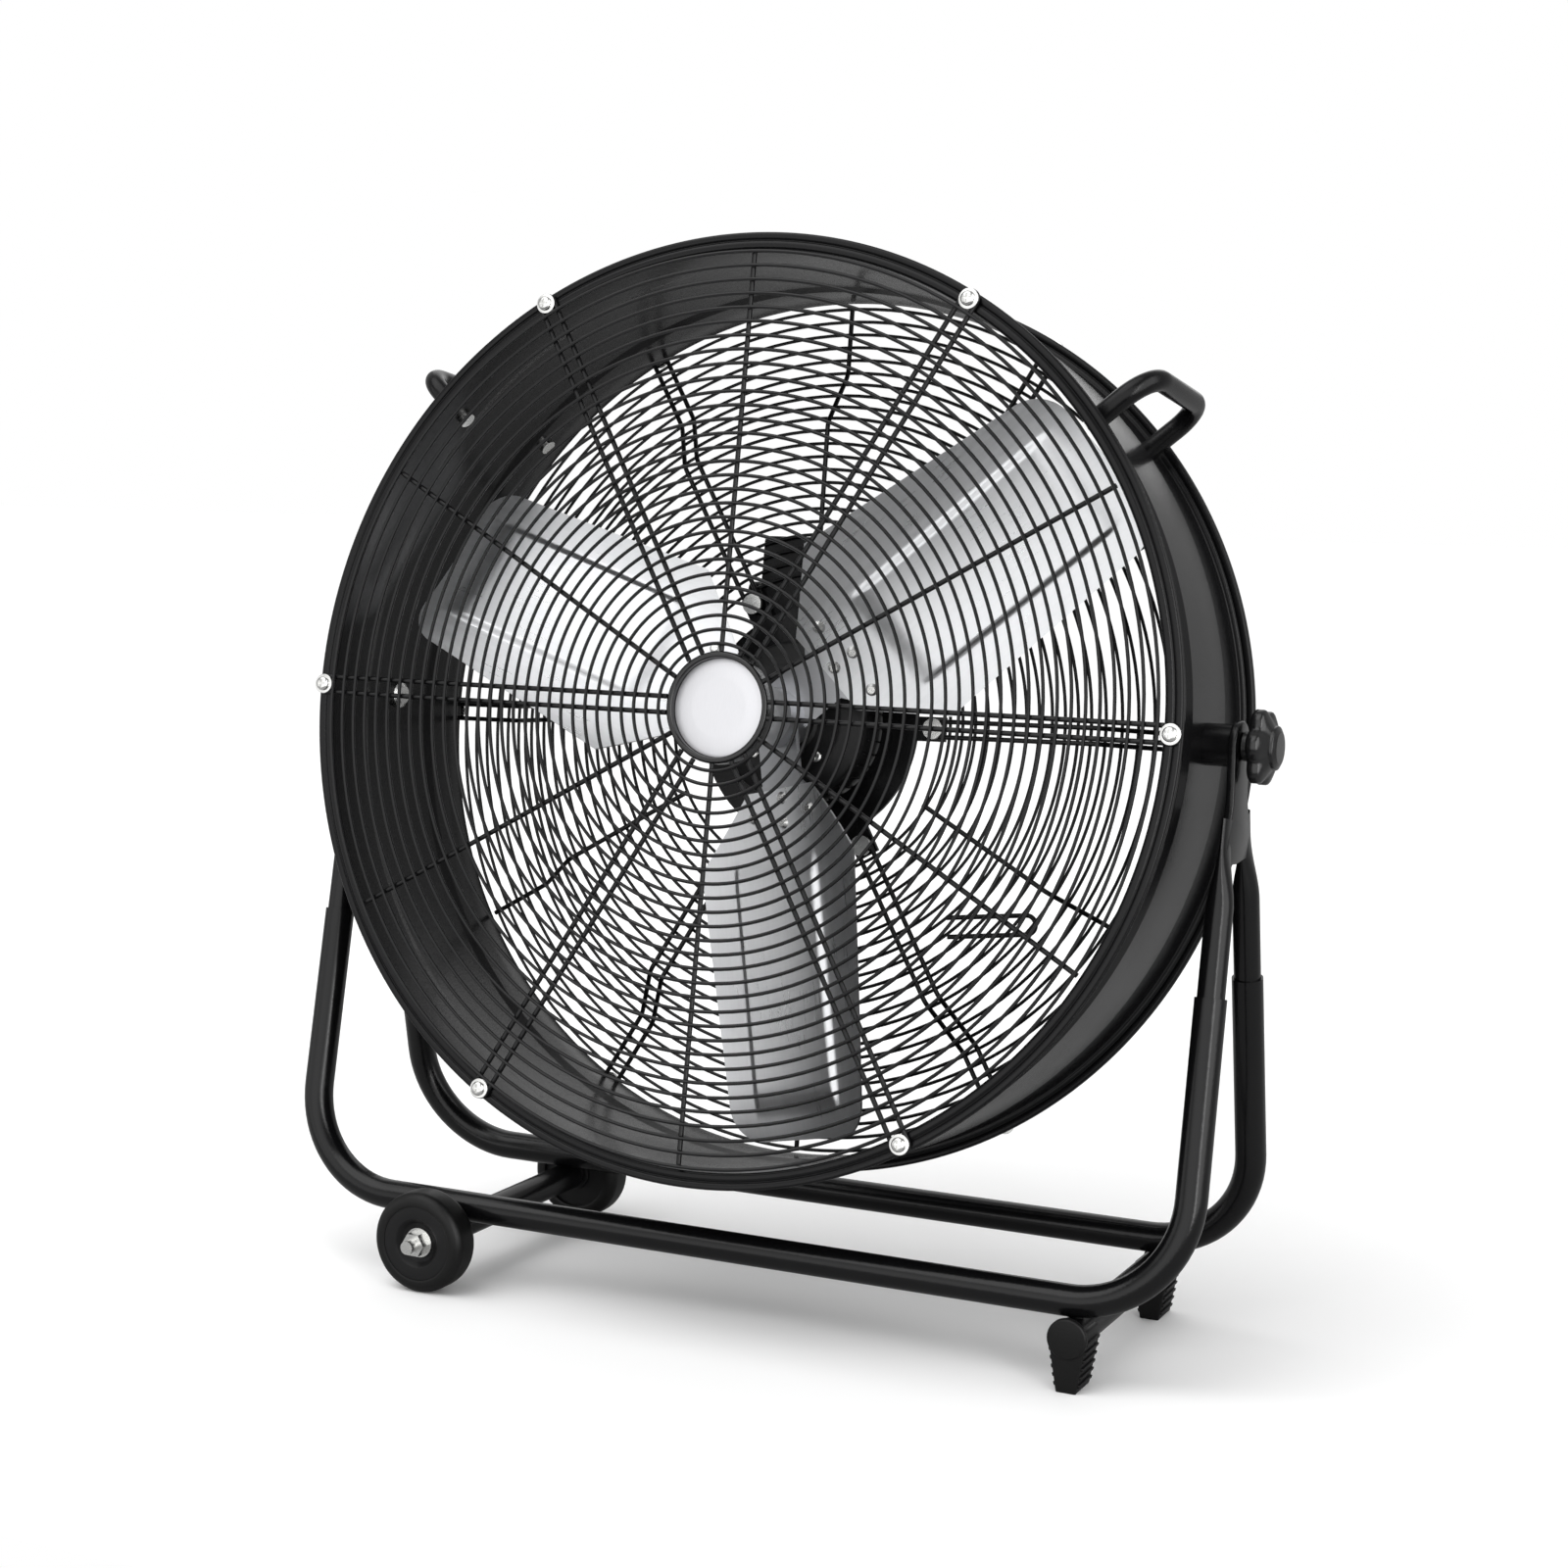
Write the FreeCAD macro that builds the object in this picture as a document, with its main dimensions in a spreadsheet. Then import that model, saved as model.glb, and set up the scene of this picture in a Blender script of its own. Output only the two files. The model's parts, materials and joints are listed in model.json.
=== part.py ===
"""Drum fan on a wheeled tube frame, as separate pieces at real size in millimetres.

The floor is z = 0. The tilt axis runs along X at the pivot height, and the back of the fan faces +Y.
Pieces of the drum and the rotor are drawn about the middle of the drum, with the fan axis along Y, and
are then tilted into place together.
"""
import FreeCAD, Part
import math
import os
import re
import Sketcher

Vector = FreeCAD.Vector
Rotation = FreeCAD.Rotation
Placement = FreeCAD.Placement

SIZES = {
    # Stance: how far the drum leans back, and how clear it is of the rails and the yokes
    "tilt_angle": 8.5,
    "rail_clearance": 25.5,
    "yoke_clearance": 13.0,
    # Drum shell: two hollow rolled rims and a wall with a raised middle band
    "drum_radius": 335.0,
    "rim_spacing": 173.0,
    "rim_width": 7.0,
    "rim_height": 12.5,
    "rim_corner": 2.6,
    "drum_sheet": 1.5,
    "band_half_width": 39.0,
    "band_shoulder": 8.0,
    "band_rise": 2.5,
    # Grilles: wire radii, rings, spoke pairs and the dished back
    "ring_wire": 1.3,
    "spoke_wire": 1.8,
    "ring_first": 44.5,
    "ring_edge_gap": 2.48,
    "ring_ear_gap": 3.08,
    "spoke_gap": 11.4,
    "spoke_bend": 5.4,
    "back_turn_angle": 1.0,
    "back_opening": 98.0,
    "dish_rim_width": 66.0,
    "dish_slope_width": 42.0,
    "dish_depth": 30.8,
    "dish_bend": 14.0,
    "hook_place_angle": 49.33,
    "hook_length": 60.0,
    "hook_gap": 14.0,
    "hook_bend": 6.5,
    "hook_stand_off": 24.0,
    "hook_turn_angle": 7.0,
    # Badge in the middle of the front grille
    "badge_radius": 39.5,
    "badge_rim": 4.5,
    "badge_height": 13.0,
    "badge_floor": 3.0,
    "badge_recess": 5.0,
    # Screws that hold the grilles on the rims
    "screw_radius": 2.0,
    "screw_head_radius": 5.2,
    "screw_head_height": 3.4,
    "screw_length": 10.0,
    "washer_radius": 7.2,
    "washer_thickness": 1.2,
    # Carrying handles
    "handle_angle": 40.0,
    "handle_spacing": 120.0,
    "handle_rise": 49.0,
    "handle_tube": 7.5,
    "handle_wall": 1.5,
    "handle_bend": 24.0,
    "plug_length": 14.0,
    "handle_bolt_radius": 3.0,
    "handle_bolt_head_radius": 6.0,
    "handle_bolt_head_height": 4.0,
    # Pivots
    "pivot_bolt_radius": 6.0,
    "pivot_head_radius": 10.0,
    "pivot_head_height": 6.0,
    "spacer_radius": 14.5,
    "strap_thickness": 6.0,
    "knob_radius": 27.0,
    "knob_face_rise": 5.0,
    "knob_boss_radius": 10.0,
    "knob_boss_length": 7.0,
    "knob_thickness": 15.0,
    "knob_scallop_radius": 10.0,
    "knob_scallop_depth": 5.5,
    "knob_cap_radius": 15.0,
    "knob_cap_height": 3.5,
    "knob_cap_spigot": 4.0,
    "thread_depth": 8.0,
    # Tube frame
    "tube_radius": 11.0,
    "tube_wall": 1.5,
    "rail_spread": 87.0,
    "apex_spread": 10.0,
    "seam_height": 265.0,
    "slip_depth": 30.0,
    "strap_flare": 40.0,
    "strap_neck_drop": 38.0,
    "strap_half_width": 17.0,
    "leg_weld": 14.0,
    "saddle_depth": 1.0,
    # Wheels on the left cross tube
    "wheel_radius": 37.5,
    "wheel_inset": 126.0,
    "wheel_width": 26.0,
    "wheel_shoulder": 5.0,
    "tyre_thickness": 10.0,
    "hub_barrel_radius": 13.0,
    "hub_web_recess": 3.5,
    "hub_face_recess": 6.0,
    "axle_radius": 5.0,
    "axle_stand_out": 8.2,
    "axle_tube_overhang": 11.0,
    "bushing_length": 23.0,
    "bushing_stand_out": 5.1,
    "axle_washer_radius": 11.0,
    "axle_washer_thickness": 1.6,
    "axle_nut_radius": 9.2,
    "axle_nut_height": 8.0,
    # Feet on the right cross tube
    "foot_inset": 72.0,
    "foot_past_bend": 5.0,
    "foot_tube_overhang": 16.0,
    "foot_sole_half_width": 7.0,
    "foot_disc_radius": 15.5,
    "foot_disc_thickness": 8.0,
    "foot_disc_overlap": 4.0,
    "foot_body_half_width": 13.5,
    "foot_body_top": 43.0,
    "foot_body_overlap": 27.0,
    "foot_rib_height": 3.0,
    "foot_rib_rise": 1.4,
    "foot_rib_pitch": 7.5,
    "foot_rib_first": 5.0,
    # Motor, along the fan axis from front to back
    "motor_radius": 60.0,
    "motor_wall": 2.0,
    "motor_front": 24.0,
    "motor_back": 114.0,
    "cover_depth": 16.0,
    "cover_taper": 8.0,
    "cover_face_radius": 46.0,
    "cover_wall": 3.0,
    "bearing_radius": 17.5,
    "bearing_width": 11.0,
    "bearing_seat_wall": 3.0,
    "shaft_radius": 7.5,
    "shaft_front": 26.0,
    "shaft_clearance": 0.5,
    "core_front": 48.0,
    "core_length": 44.0,
    "rotor_radius": 32.0,
    "air_gap": 0.5,
    "winding_inner": 36.0,
    "winding_outer": 54.0,
    "winding_overhang": 9.0,
    "flange_radius": 88.0,
    "flange_thickness": 3.0,
    "flange_ear_half_width": 9.0,
    "flange_ear_tip": 8.0,
    "flange_screw_radius": 2.5,
    "flange_screw_head_radius": 7.6,
    "flange_screw_head_height": 3.0,
    # Switch box above the back of the motor
    "box_half_width": 51.0,
    "box_bottom": 64.0,
    "box_top": 141.0,
    "box_depth": 34.2,
    "box_wall": 2.5,
    "box_cover_thickness": 3.0,
    "box_screw_inset": 6.0,
    "box_screw_radius": 1.8,
    "box_screw_head_radius": 3.4,
    "box_screw_head_height": 2.2,
    "box_post_radius": 3.4,
    "box_screw_length": 12.0,
    "switch_size": 30.0,
    "switch_depth": 18.0,
    "switch_height": 114.0,
    "switch_shaft_radius": 3.0,
    "switch_shaft_length": 14.0,
    "dial_radius": 17.0,
    "dial_thickness": 15.0,
    "dial_grip_half_width": 4.0,
    "dial_base_thickness": 5.0,
    "capacitor_radius": 13.0,
    "capacitor_length": 52.0,
    "gland_height": 100.0,
    "gland_radius": 9.5,
    "gland_length": 15.0,
    "gland_spigot_radius": 6.5,
    "gland_spigot_length": 8.0,
    "gland_bore": 4.0,
    # Rotor: hub, spider arms and three blades
    "blade_first_angle": 41.0,
    "blade_pitch_angle": 22.0,
    "blade_plane": 2.0,
    "blade_camber_radius": 260.0,
    "blade_thickness": 1.5,
    "blade_root": 52.0,
    "blade_shoulder": 105.0,
    "blade_tip_gap": 16.5,
    "blade_root_half_width": 34.0,
    "blade_lead_half_width": 80.0,
    "blade_lead_tip_width": 74.0,
    "blade_trail_half_width": 82.0,
    "blade_trail_tip_width": 60.0,
    "blade_tip_corner": 28.0,
    "blade_block_height": 60.0,
    "arm_thickness": 3.0,
    "arm_start": 10.0,
    "arm_neck": 48.0,
    "arm_shoulder": 64.0,
    "arm_end": 90.0,
    "arm_neck_half_width": 20.0,
    "arm_half_width": 40.0,
    "hub_radius": 22.0,
    "hub_front": 16.0,
    "hub_back": 20.0,
    "hub_nut_radius": 12.5,
    "hub_nut_height": 8.0,
    "rivet_inner": 59.0,
    "rivet_outer": 77.0,
    "rivet_side": 29.5,
    "rivet_radius": 2.2,
    "rivet_head_radius": 4.6,
    "rivet_head_height": 2.2,
    "rivet_tail_height": 1.4,
    # Clearances
    "fit_gap": 0.05,
    "running_gap": 0.3,
    "hole_gap": 0.3,
    "overrun": 2.0,
}

FRONT_RINGS = 29
INNER_RINGS = 19
BACK_RINGS = 22
BACK_INNER_RINGS = 12
HOOK_RING = 7.5
SPOKE_PAIRS = 6
BLADES = 3
KNOB_LOBES = 6
FOOT_RIBS = 4
HEX_SIDES = 6

FULL_TURN = 360.0
RIGHT_ANGLE = 90.0
HALF_TURN = 180.0
LEFT = "left"

DOC = FreeCAD.newDocument("drum_fan")
SHEET = DOC.addObject("Spreadsheet::Sheet", "Sizes")
for row, (alias, value) in enumerate(SIZES.items(), start=1):
    SHEET.set(f"A{row}", alias)
    SHEET.set(f"B{row}", str(value))
    SHEET.setAlias(f"B{row}", alias)
DOC.recompute()

PIECES = []

X_AXIS = Vector(1, 0, 0)
Y_AXIS = Vector(0, 1, 0)
Z_AXIS = Vector(0, 0, 1)
TOWARDS_FRONT = Vector(0, -1, 0)
HOME = Placement()


def cells(text):
    """Write the sheet's name before every size in an expression."""
    return re.sub(r"[a-z][a-z_]*", lambda word: cell(word.group()), text)


def cell(word):
    """Name one size as the sheet holds it, and leave any other word alone."""
    return "Sizes." + word if word in SIZES else word


def mm(text):
    """Work out an expression of sizes."""
    return float(SHEET.evalExpression(text))


def bind(piece, name, text):
    """Tie one property of a piece to an expression of sizes."""
    piece.setExpression(name, cells(text))


def at(x="0", y="0", z="0", axis=Z_AXIS, angle=0.0):
    """Place at a point given in sizes, turned about an axis."""
    return Placement(Vector(mm(x), mm(y), mm(z)), Rotation(axis, angle))


def turned_about(axis, angle):
    """Turn about an axis through the origin."""
    return Placement(Vector(), Rotation(axis, angle))


def keep(piece, label, place=HOME):
    """Name a finished piece and put it in its place."""
    piece.Label = label
    piece.Placement = place
    PIECES.append(piece)
    return piece


def arc_between(start, end, radius, turn):
    """Arc of under a half circle from one point to the next, turning left or right."""
    middle = (start + end) / 2
    chord = end - start
    across = Vector(-chord.y, chord.x, 0).normalize()
    height = math.sqrt(max(radius ** 2 - (chord.Length / 2) ** 2, 0))
    centre = middle + across * (height if turn == LEFT else -height)
    first, last = (start, end) if turn == LEFT else (end, start)
    begin = math.atan2(first.y - centre.y, first.x - centre.x)
    finish = math.atan2(last.y - centre.y, last.x - centre.x)
    return Part.ArcOfCircle(Part.Circle(centre, Z_AXIS, radius), begin, finish)


def draw(sketch, outline):
    """Draw a closed outline; a point with a radius and a turn is reached along an arc."""
    points = [Vector(mm(point[0]), mm(point[1]), 0) for point in outline]
    first = sketch.GeometryCount
    starts = []
    ends = []
    for index, point in enumerate(outline):
        if len(point) == 2:
            sketch.addGeometry(Part.LineSegment(points[index - 1], points[index]))
            starts.append(1)
            ends.append(2)
            continue
        radius, turn = point[2:]
        sketch.addGeometry(arc_between(points[index - 1], points[index], mm(radius), turn))
        starts.append(1 if turn == LEFT else 2)
        ends.append(2 if turn == LEFT else 1)
    count = len(outline)
    for index in range(count):
        after = (index + 1) % count
        sketch.addConstraint(
            Sketcher.Constraint("Coincident", first + index, ends[index], first + after, starts[after])
        )
    for index, point in enumerate(outline):
        values = (points[index].x, points[index].y)
        for kind, value, text in zip(("DistanceX", "DistanceY"), values, point):
            rule = Sketcher.Constraint(kind, -1, 1, first + index, ends[index], value)
            bind(sketch, f"Constraints[{sketch.addConstraint(rule)}]", text)
        if len(point) > 2:
            rule = Sketcher.Constraint("Radius", first + index, mm(point[2]))
            bind(sketch, f"Constraints[{sketch.addConstraint(rule)}]", point[2])


def sketched(name, role, outlines):
    """Body with one sketch of closed outlines on one of its own planes."""
    body = DOC.addObject("PartDesign::Body", name)
    sketch = body.newObject("Sketcher::SketchObject", name + "_sketch")
    plane = next(feature for feature in body.Origin.OriginFeatures if feature.Role == role)
    sketch.AttachmentSupport = (plane, [""])
    sketch.MapMode = "FlatFace"
    for outline in outlines:
        draw(sketch, outline)
    return body, sketch


def turned(name, *outlines):
    """Body turned about Y; an outline gives radius and place along the axis."""
    body, sketch = sketched(name, "XY_Plane", outlines)
    turn = body.newObject("PartDesign::Revolution", name + "_turn")
    turn.Profile = sketch
    turn.ReferenceAxis = (sketch, ["V_Axis"])
    turn.Angle = FULL_TURN
    body.Tip = turn
    return body


def padded(name, role, outline, length):
    """Body padded from an outline on one of its own planes."""
    body, sketch = sketched(name, role, [outline])
    pad = body.newObject("PartDesign::Pad", name + "_pad")
    pad.Profile = sketch
    bind(pad, "Length", length)
    body.Tip = pad
    return body


def rod(name, radius, length, place=HOME):
    """Cylinder that stands along its own Z axis."""
    piece = DOC.addObject("Part::Cylinder", name)
    bind(piece, "Radius", radius)
    bind(piece, "Height", length)
    piece.Placement = place
    return piece


def block(name, length, width, height, place=HOME):
    """Box with its lowest corner at its own origin."""
    piece = DOC.addObject("Part::Box", name)
    bind(piece, "Length", length)
    bind(piece, "Width", width)
    bind(piece, "Height", height)
    piece.Placement = place
    return piece


def hexagon(name, radius, height, place=HOME):
    """Six-sided prism that stands along its own Z axis."""
    piece = DOC.addObject("Part::Prism", name)
    piece.Polygon = HEX_SIDES
    bind(piece, "Circumradius", radius)
    bind(piece, "Height", height)
    piece.Placement = place
    return piece


def ball(name, radius, place):
    """Sphere about a point."""
    piece = DOC.addObject("Part::Sphere", name)
    bind(piece, "Radius", radius)
    piece.Placement = place
    return piece


def cut(name, base, tool):
    """Base with the tool taken out of it; a cut that removes nothing is an error."""
    piece = DOC.addObject("Part::Cut", name)
    piece.Base = base
    piece.Tool = tool
    DOC.recompute()
    if piece.Shape.Volume >= base.Shape.Volume:
        raise RuntimeError(f"{name} removes nothing")
    return piece


def common(name, base, tool):
    """What two solids share."""
    piece = DOC.addObject("Part::Common", name)
    piece.Base = base
    piece.Tool = tool
    return piece


def joined(name, shapes):
    """Several solids fused into one."""
    piece = DOC.addObject("Part::MultiFuse", name)
    piece.Shapes = shapes
    return piece


def gathered(name, pieces):
    """Several separate solids in one piece."""
    piece = DOC.addObject("Part::Compound", name)
    piece.Links = pieces
    return piece


def copies(name, pattern, places):
    """Separate copies of one solid, one at each place."""
    DOC.recompute()
    piece = DOC.addObject("Part::Feature", name)
    solids = []
    for place in places:
        solid = pattern.Shape.copy()
        solid.Placement = place.multiply(solid.Placement)
        solids.append(solid)
    piece.Shape = Part.Compound(solids)
    return piece


def bent_path(points, bends):
    """Wire of straight runs joined by tangent arcs, with one bend radius for each inner point."""
    edges = []
    start = points[0]
    for before, corner, after, bend in zip(points, points[1:], points[2:], bends):
        back = (before - corner).normalize()
        ahead = (after - corner).normalize()
        half = back.getAngle(ahead) / 2
        reach = bend / math.tan(half)
        middle = (back + ahead).normalize()
        entry = corner + back * reach
        leave = corner + ahead * reach
        apex = corner + middle * (bend / math.sin(half) - bend)
        edges.append(Part.LineSegment(start, entry).toShape())
        edges.append(Part.Arc(entry, apex, leave).toShape())
        start = leave
    edges.append(Part.LineSegment(start, points[-1]).toShape())
    return Part.Wire(edges)


def swept(name, wire, radius):
    """Round bar along a path."""
    path = DOC.addObject("Part::Feature", name + "_path")
    path.Shape = wire
    first = wire.OrderedEdges[0]
    section = DOC.addObject("Part::Circle", name + "_section")
    bind(section, "Radius", radius)
    tangent = first.tangentAt(first.FirstParameter)
    section.Placement = Placement(wire.OrderedVertexes[0].Point, Rotation(Z_AXIS, tangent))
    piece = DOC.addObject("Part::Sweep", name)
    piece.Sections = [section]
    piece.Spine = (path, [f"Edge{number}" for number in range(1, len(wire.Edges) + 1)])
    piece.Solid = True
    piece.Frenet = False
    return piece


def tube(name, wire, radius, wall):
    """Round tube along a path, open at both ends."""
    outside = swept(name + "_outside", wire, radius)
    inside = swept(name + "_inside", wire, f"{radius} - {wall}")
    return cut(name, outside, inside)


def ring(name, outer, inner, length, place=HOME):
    """Straight sleeve that stands along its own Z axis."""
    bore = rod(name + "_bore", inner, f"{length} + 2 * overrun", at(z="-overrun"))
    return cut(name, rod(name + "_blank", outer, length), bore)


def around(angle):
    """Turn about the fan axis, counted anticlockwise as seen from the front."""
    return turned_about(TOWARDS_FRONT, angle)


RAIL_HEIGHT = "(wheel_radius + 2 * tube_radius - saddle_depth)"
PIVOT_HEIGHT = f"({RAIL_HEIGHT} + tube_radius + rail_clearance + drum_radius)"

# The drum's own frame: centred on the tilt axis, and leaning back
DRUM = at(z=PIVOT_HEIGHT, axis=X_AXIS, angle=-mm("tilt_angle"))

# Lines that several pieces share
RIM_FACE = "(rim_spacing / 2 + rim_width / 2)"
RIM_BACK = "(rim_spacing / 2 - rim_width / 2)"
WALL_INSIDE = "(drum_radius - rim_height)"
WALL_OUTSIDE = "(drum_radius - rim_height + drum_sheet)"
BAND_INSIDE = "(drum_radius - rim_height + band_rise)"
BAND_OUTSIDE = "(drum_radius - rim_height + band_rise + drum_sheet)"
BAND_EDGE = "(band_half_width + band_shoulder)"
SCREW_CIRCLE = "(drum_radius - rim_height / 2)"
SPOKE_PLANE = f"({RIM_FACE} + spoke_wire)"
RING_LIFT = "(spoke_wire + ring_wire)"
LAST_RING = f"({WALL_INSIDE} - ring_edge_gap)"
RING_PITCH = f"(({LAST_RING} - ring_first) / {FRONT_RINGS - 1})"
DISH_PLANE = f"({SPOKE_PLANE} - dish_depth)"
DISH_OUTER = "(drum_radius - dish_rim_width)"
DISH_INNER = f"({DISH_OUTER} - dish_slope_width)"
BLADE_TIP = f"({WALL_INSIDE} - blade_tip_gap)"
LEG_REACH = "(drum_radius + yoke_clearance)"
WHEEL_REACH = f"({LEG_REACH} - wheel_inset)"
FOOT_REACH = f"({LEG_REACH} - foot_inset)"
CORNER_BEND = "(foot_inset + foot_past_bend)"
AXLE_TUBE_END = "(rail_spread + axle_tube_overhang)"
FOOT_TUBE_END = "(rail_spread + foot_tube_overhang)"
FOOT_DISC_START = f"({FOOT_TUBE_END} - foot_disc_overlap)"
FOOT_BODY_START = f"({FOOT_TUBE_END} - foot_body_overlap)"
STRAP_INSIDE = f"({LEG_REACH} - strap_thickness / 2)"
STRAP_OUTSIDE = f"({LEG_REACH} + strap_thickness / 2)"
STRAP_NECK = f"({PIVOT_HEIGHT} - strap_neck_drop)"
STRAP_BOTTOM = f"({STRAP_NECK} - strap_flare)"
FLANGE_FRONT = f"({DISH_PLANE} + spoke_wire)"
FLANGE_BACK = f"({DISH_PLANE} + spoke_wire + flange_thickness)"
FLANGE_SCREW_CIRCLE = "(back_opening + spoke_wire + flange_screw_radius)"
BACK_FIRST_RING = f"({FLANGE_SCREW_CIRCLE} + flange_ear_tip + ring_ear_gap)"
BACK_PITCH = f"(({LAST_RING} - {BACK_FIRST_RING}) / {BACK_RINGS - 1})"
HOOK_RADIUS = f"({BACK_FIRST_RING} + {HOOK_RING} * {BACK_PITCH})"
BOX_BACK = f"({FLANGE_BACK} + box_depth)"

LEAN = math.degrees(math.atan(mm(f"(rail_spread - apex_spread) / ({PIVOT_HEIGHT} - {RAIL_HEIGHT})")))


def leg_spread(height):
    """Distance of a leg from the middle plane at a height."""
    drop = f"({PIVOT_HEIGHT} - {height}) / ({PIVOT_HEIGHT} - {RAIL_HEIGHT})"
    return f"(apex_spread + (rail_spread - apex_spread) * {drop})"


def spoke_angles(offset, turn=0.0):
    """Angles of one set of spokes round the fan axis."""
    step = FULL_TURN / SPOKE_PAIRS
    return [turn + offset * step + step * number for number in range(SPOKE_PAIRS)]


def make_drum_shell():
    """Rolled drum with hollow rims, drilled for screws, handle bolts and pivots."""
    outline = [
        (WALL_INSIDE, f"-{BAND_EDGE}"),
        (WALL_INSIDE, f"-{RIM_FACE} + rim_corner"),
        (f"{WALL_INSIDE} + rim_corner", f"-{RIM_FACE}", "rim_corner", LEFT),
        ("drum_radius - rim_corner", f"-{RIM_FACE}"),
        ("drum_radius", f"-{RIM_FACE} + rim_corner", "rim_corner", LEFT),
        ("drum_radius", f"-{RIM_BACK} - rim_corner"),
        ("drum_radius - rim_corner", f"-{RIM_BACK}", "rim_corner", LEFT),
        (WALL_OUTSIDE, f"-{RIM_BACK}"),
        (WALL_OUTSIDE, f"-{BAND_EDGE}"),
        (BAND_OUTSIDE, "-band_half_width"),
        (BAND_OUTSIDE, "band_half_width"),
        (WALL_OUTSIDE, BAND_EDGE),
        (WALL_OUTSIDE, RIM_BACK),
        ("drum_radius - rim_corner", RIM_BACK),
        ("drum_radius", f"{RIM_BACK} + rim_corner", "rim_corner", LEFT),
        ("drum_radius", f"{RIM_FACE} - rim_corner"),
        ("drum_radius - rim_corner", RIM_FACE, "rim_corner", LEFT),
        (f"{WALL_INSIDE} + rim_corner", RIM_FACE),
        (WALL_INSIDE, f"{RIM_FACE} - rim_corner", "rim_corner", LEFT),
        (WALL_INSIDE, BAND_EDGE),
        (BAND_INSIDE, "band_half_width"),
        (BAND_INSIDE, "-band_half_width"),
    ]
    hollows = []
    for side in ("-", ""):
        hollows.append([
            (WALL_OUTSIDE, f"{side}({RIM_FACE} - drum_sheet)"),
            ("drum_radius - drum_sheet", f"{side}({RIM_FACE} - drum_sheet)"),
            ("drum_radius - drum_sheet", f"{side}({RIM_BACK} + drum_sheet)"),
            (WALL_OUTSIDE, f"{side}({RIM_BACK} + drum_sheet)"),
        ])
    blank = turned("drum_blank", outline, *hollows)
    screw_hole = rod("screw_hole", "screw_radius + fit_gap", "2 * overrun + drum_sheet")
    handle_hole = rod("handle_hole", "handle_bolt_radius + fit_gap", "4 * overrun + drum_sheet")
    pivot_hole = rod("pivot_hole", "pivot_bolt_radius + fit_gap", "4 * overrun + drum_sheet")
    front = at(x=SCREW_CIRCLE, y=f"-{RIM_FACE} - overrun", axis=X_AXIS, angle=-RIGHT_ANGLE)
    back = at(x=SCREW_CIRCLE, y=f"{RIM_FACE} + overrun", axis=X_AXIS, angle=RIGHT_ANGLE)
    front_places = [around(angle) * front for angle in spoke_angles(0)]
    back_places = [around(angle) * back for angle in spoke_angles(0, mm("back_turn_angle"))]
    handle_places = [place * at(z=f"{WALL_INSIDE} - 2 * overrun") for place in handle_leg_places()]
    pivot_places = [place * at(z=f"{BAND_INSIDE} - 2 * overrun") for place in pivot_places_out()]
    holes = gathered("drum_holes", [
        copies("screw_holes", screw_hole, front_places + back_places),
        copies("handle_holes", handle_hole, handle_places),
        copies("pivot_holes", pivot_hole, pivot_places),
    ])
    keep(cut("drum_drilled", blank, holes), "drum_shell", DRUM)


def handle_leg_places():
    """Frames at the fan axis whose Z axis points out along each of the four handle legs."""
    places = []
    for angle in (mm("handle_angle"), HALF_TURN - mm("handle_angle")):
        for side in ("-", ""):
            outwards = around(angle) * at(y=f"{side}handle_spacing / 2", axis=Y_AXIS, angle=RIGHT_ANGLE)
            places.append(outwards)
    return places


def pivot_places_out():
    """Frames at the drum's middle whose Z axis points out along the right and the left pivot."""
    return [turned_about(Y_AXIS, RIGHT_ANGLE), turned_about(Y_AXIS, -RIGHT_ANGLE)]


def make_front_grille():
    """Flat welded grille: rings in front of spoke pairs that loop round the screws, and single spokes."""
    rings = []
    for number in range(FRONT_RINGS):
        wire = DOC.addObject("Part::Torus", f"front_ring_{number}")
        bind(wire, "Radius1", f"ring_first + {number} * {RING_PITCH}")
        bind(wire, "Radius2", "ring_wire")
        wire.Placement = at(y=f"-{SPOKE_PLANE} - {RING_LIFT}", axis=X_AXIS, angle=RIGHT_ANGLE)
        rings.append(wire)
    plane = mm(f"-{SPOKE_PLANE}")
    inner = mm("badge_radius")
    outer = mm(f"{SCREW_CIRCLE} + spoke_gap / 2")
    side = mm("spoke_gap / 2")
    corners = [
        Vector(inner, plane, -side),
        Vector(outer, plane, -side),
        Vector(outer, plane, side),
        Vector(inner, plane, side),
    ]
    pair = swept("front_pair", bent_path(corners, [mm("spoke_bend")] * 2), "spoke_wire")
    pairs = copies("front_pairs", pair, [around(angle) for angle in spoke_angles(0)])
    length = f"{LAST_RING} + ring_wire - badge_radius"
    start = at(x="badge_radius", y=f"-{SPOKE_PLANE}", axis=Y_AXIS, angle=RIGHT_ANGLE)
    single = rod("front_single", "spoke_wire", length, start)
    singles = copies("front_singles", single, [around(angle) for angle in spoke_angles(0.5)])
    keep(gathered("front_inner_wires", rings[:INNER_RINGS]), "front_inner_rings", DRUM)
    keep(gathered("front_outer_wires", rings[INNER_RINGS:]), "front_outer_rings", DRUM)
    keep(gathered("front_spoke_wires", [pairs, singles]), "front_spokes", DRUM)


def back_spoke_plane(radius):
    """Place along the fan axis of a back spoke at a radius, and the lift of a ring welded on it."""
    flat_lift = mm(RING_LIFT)
    inner = mm(DISH_INNER)
    outer = mm(DISH_OUTER)
    if radius <= inner:
        return mm(DISH_PLANE), flat_lift
    if radius >= outer:
        return mm(SPOKE_PLANE), flat_lift
    depth = mm("dish_depth")
    share = (radius - inner) / (outer - inner)
    slope = math.atan2(depth, outer - inner)
    return mm(DISH_PLANE) + depth * share, flat_lift / math.cos(slope)


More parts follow.
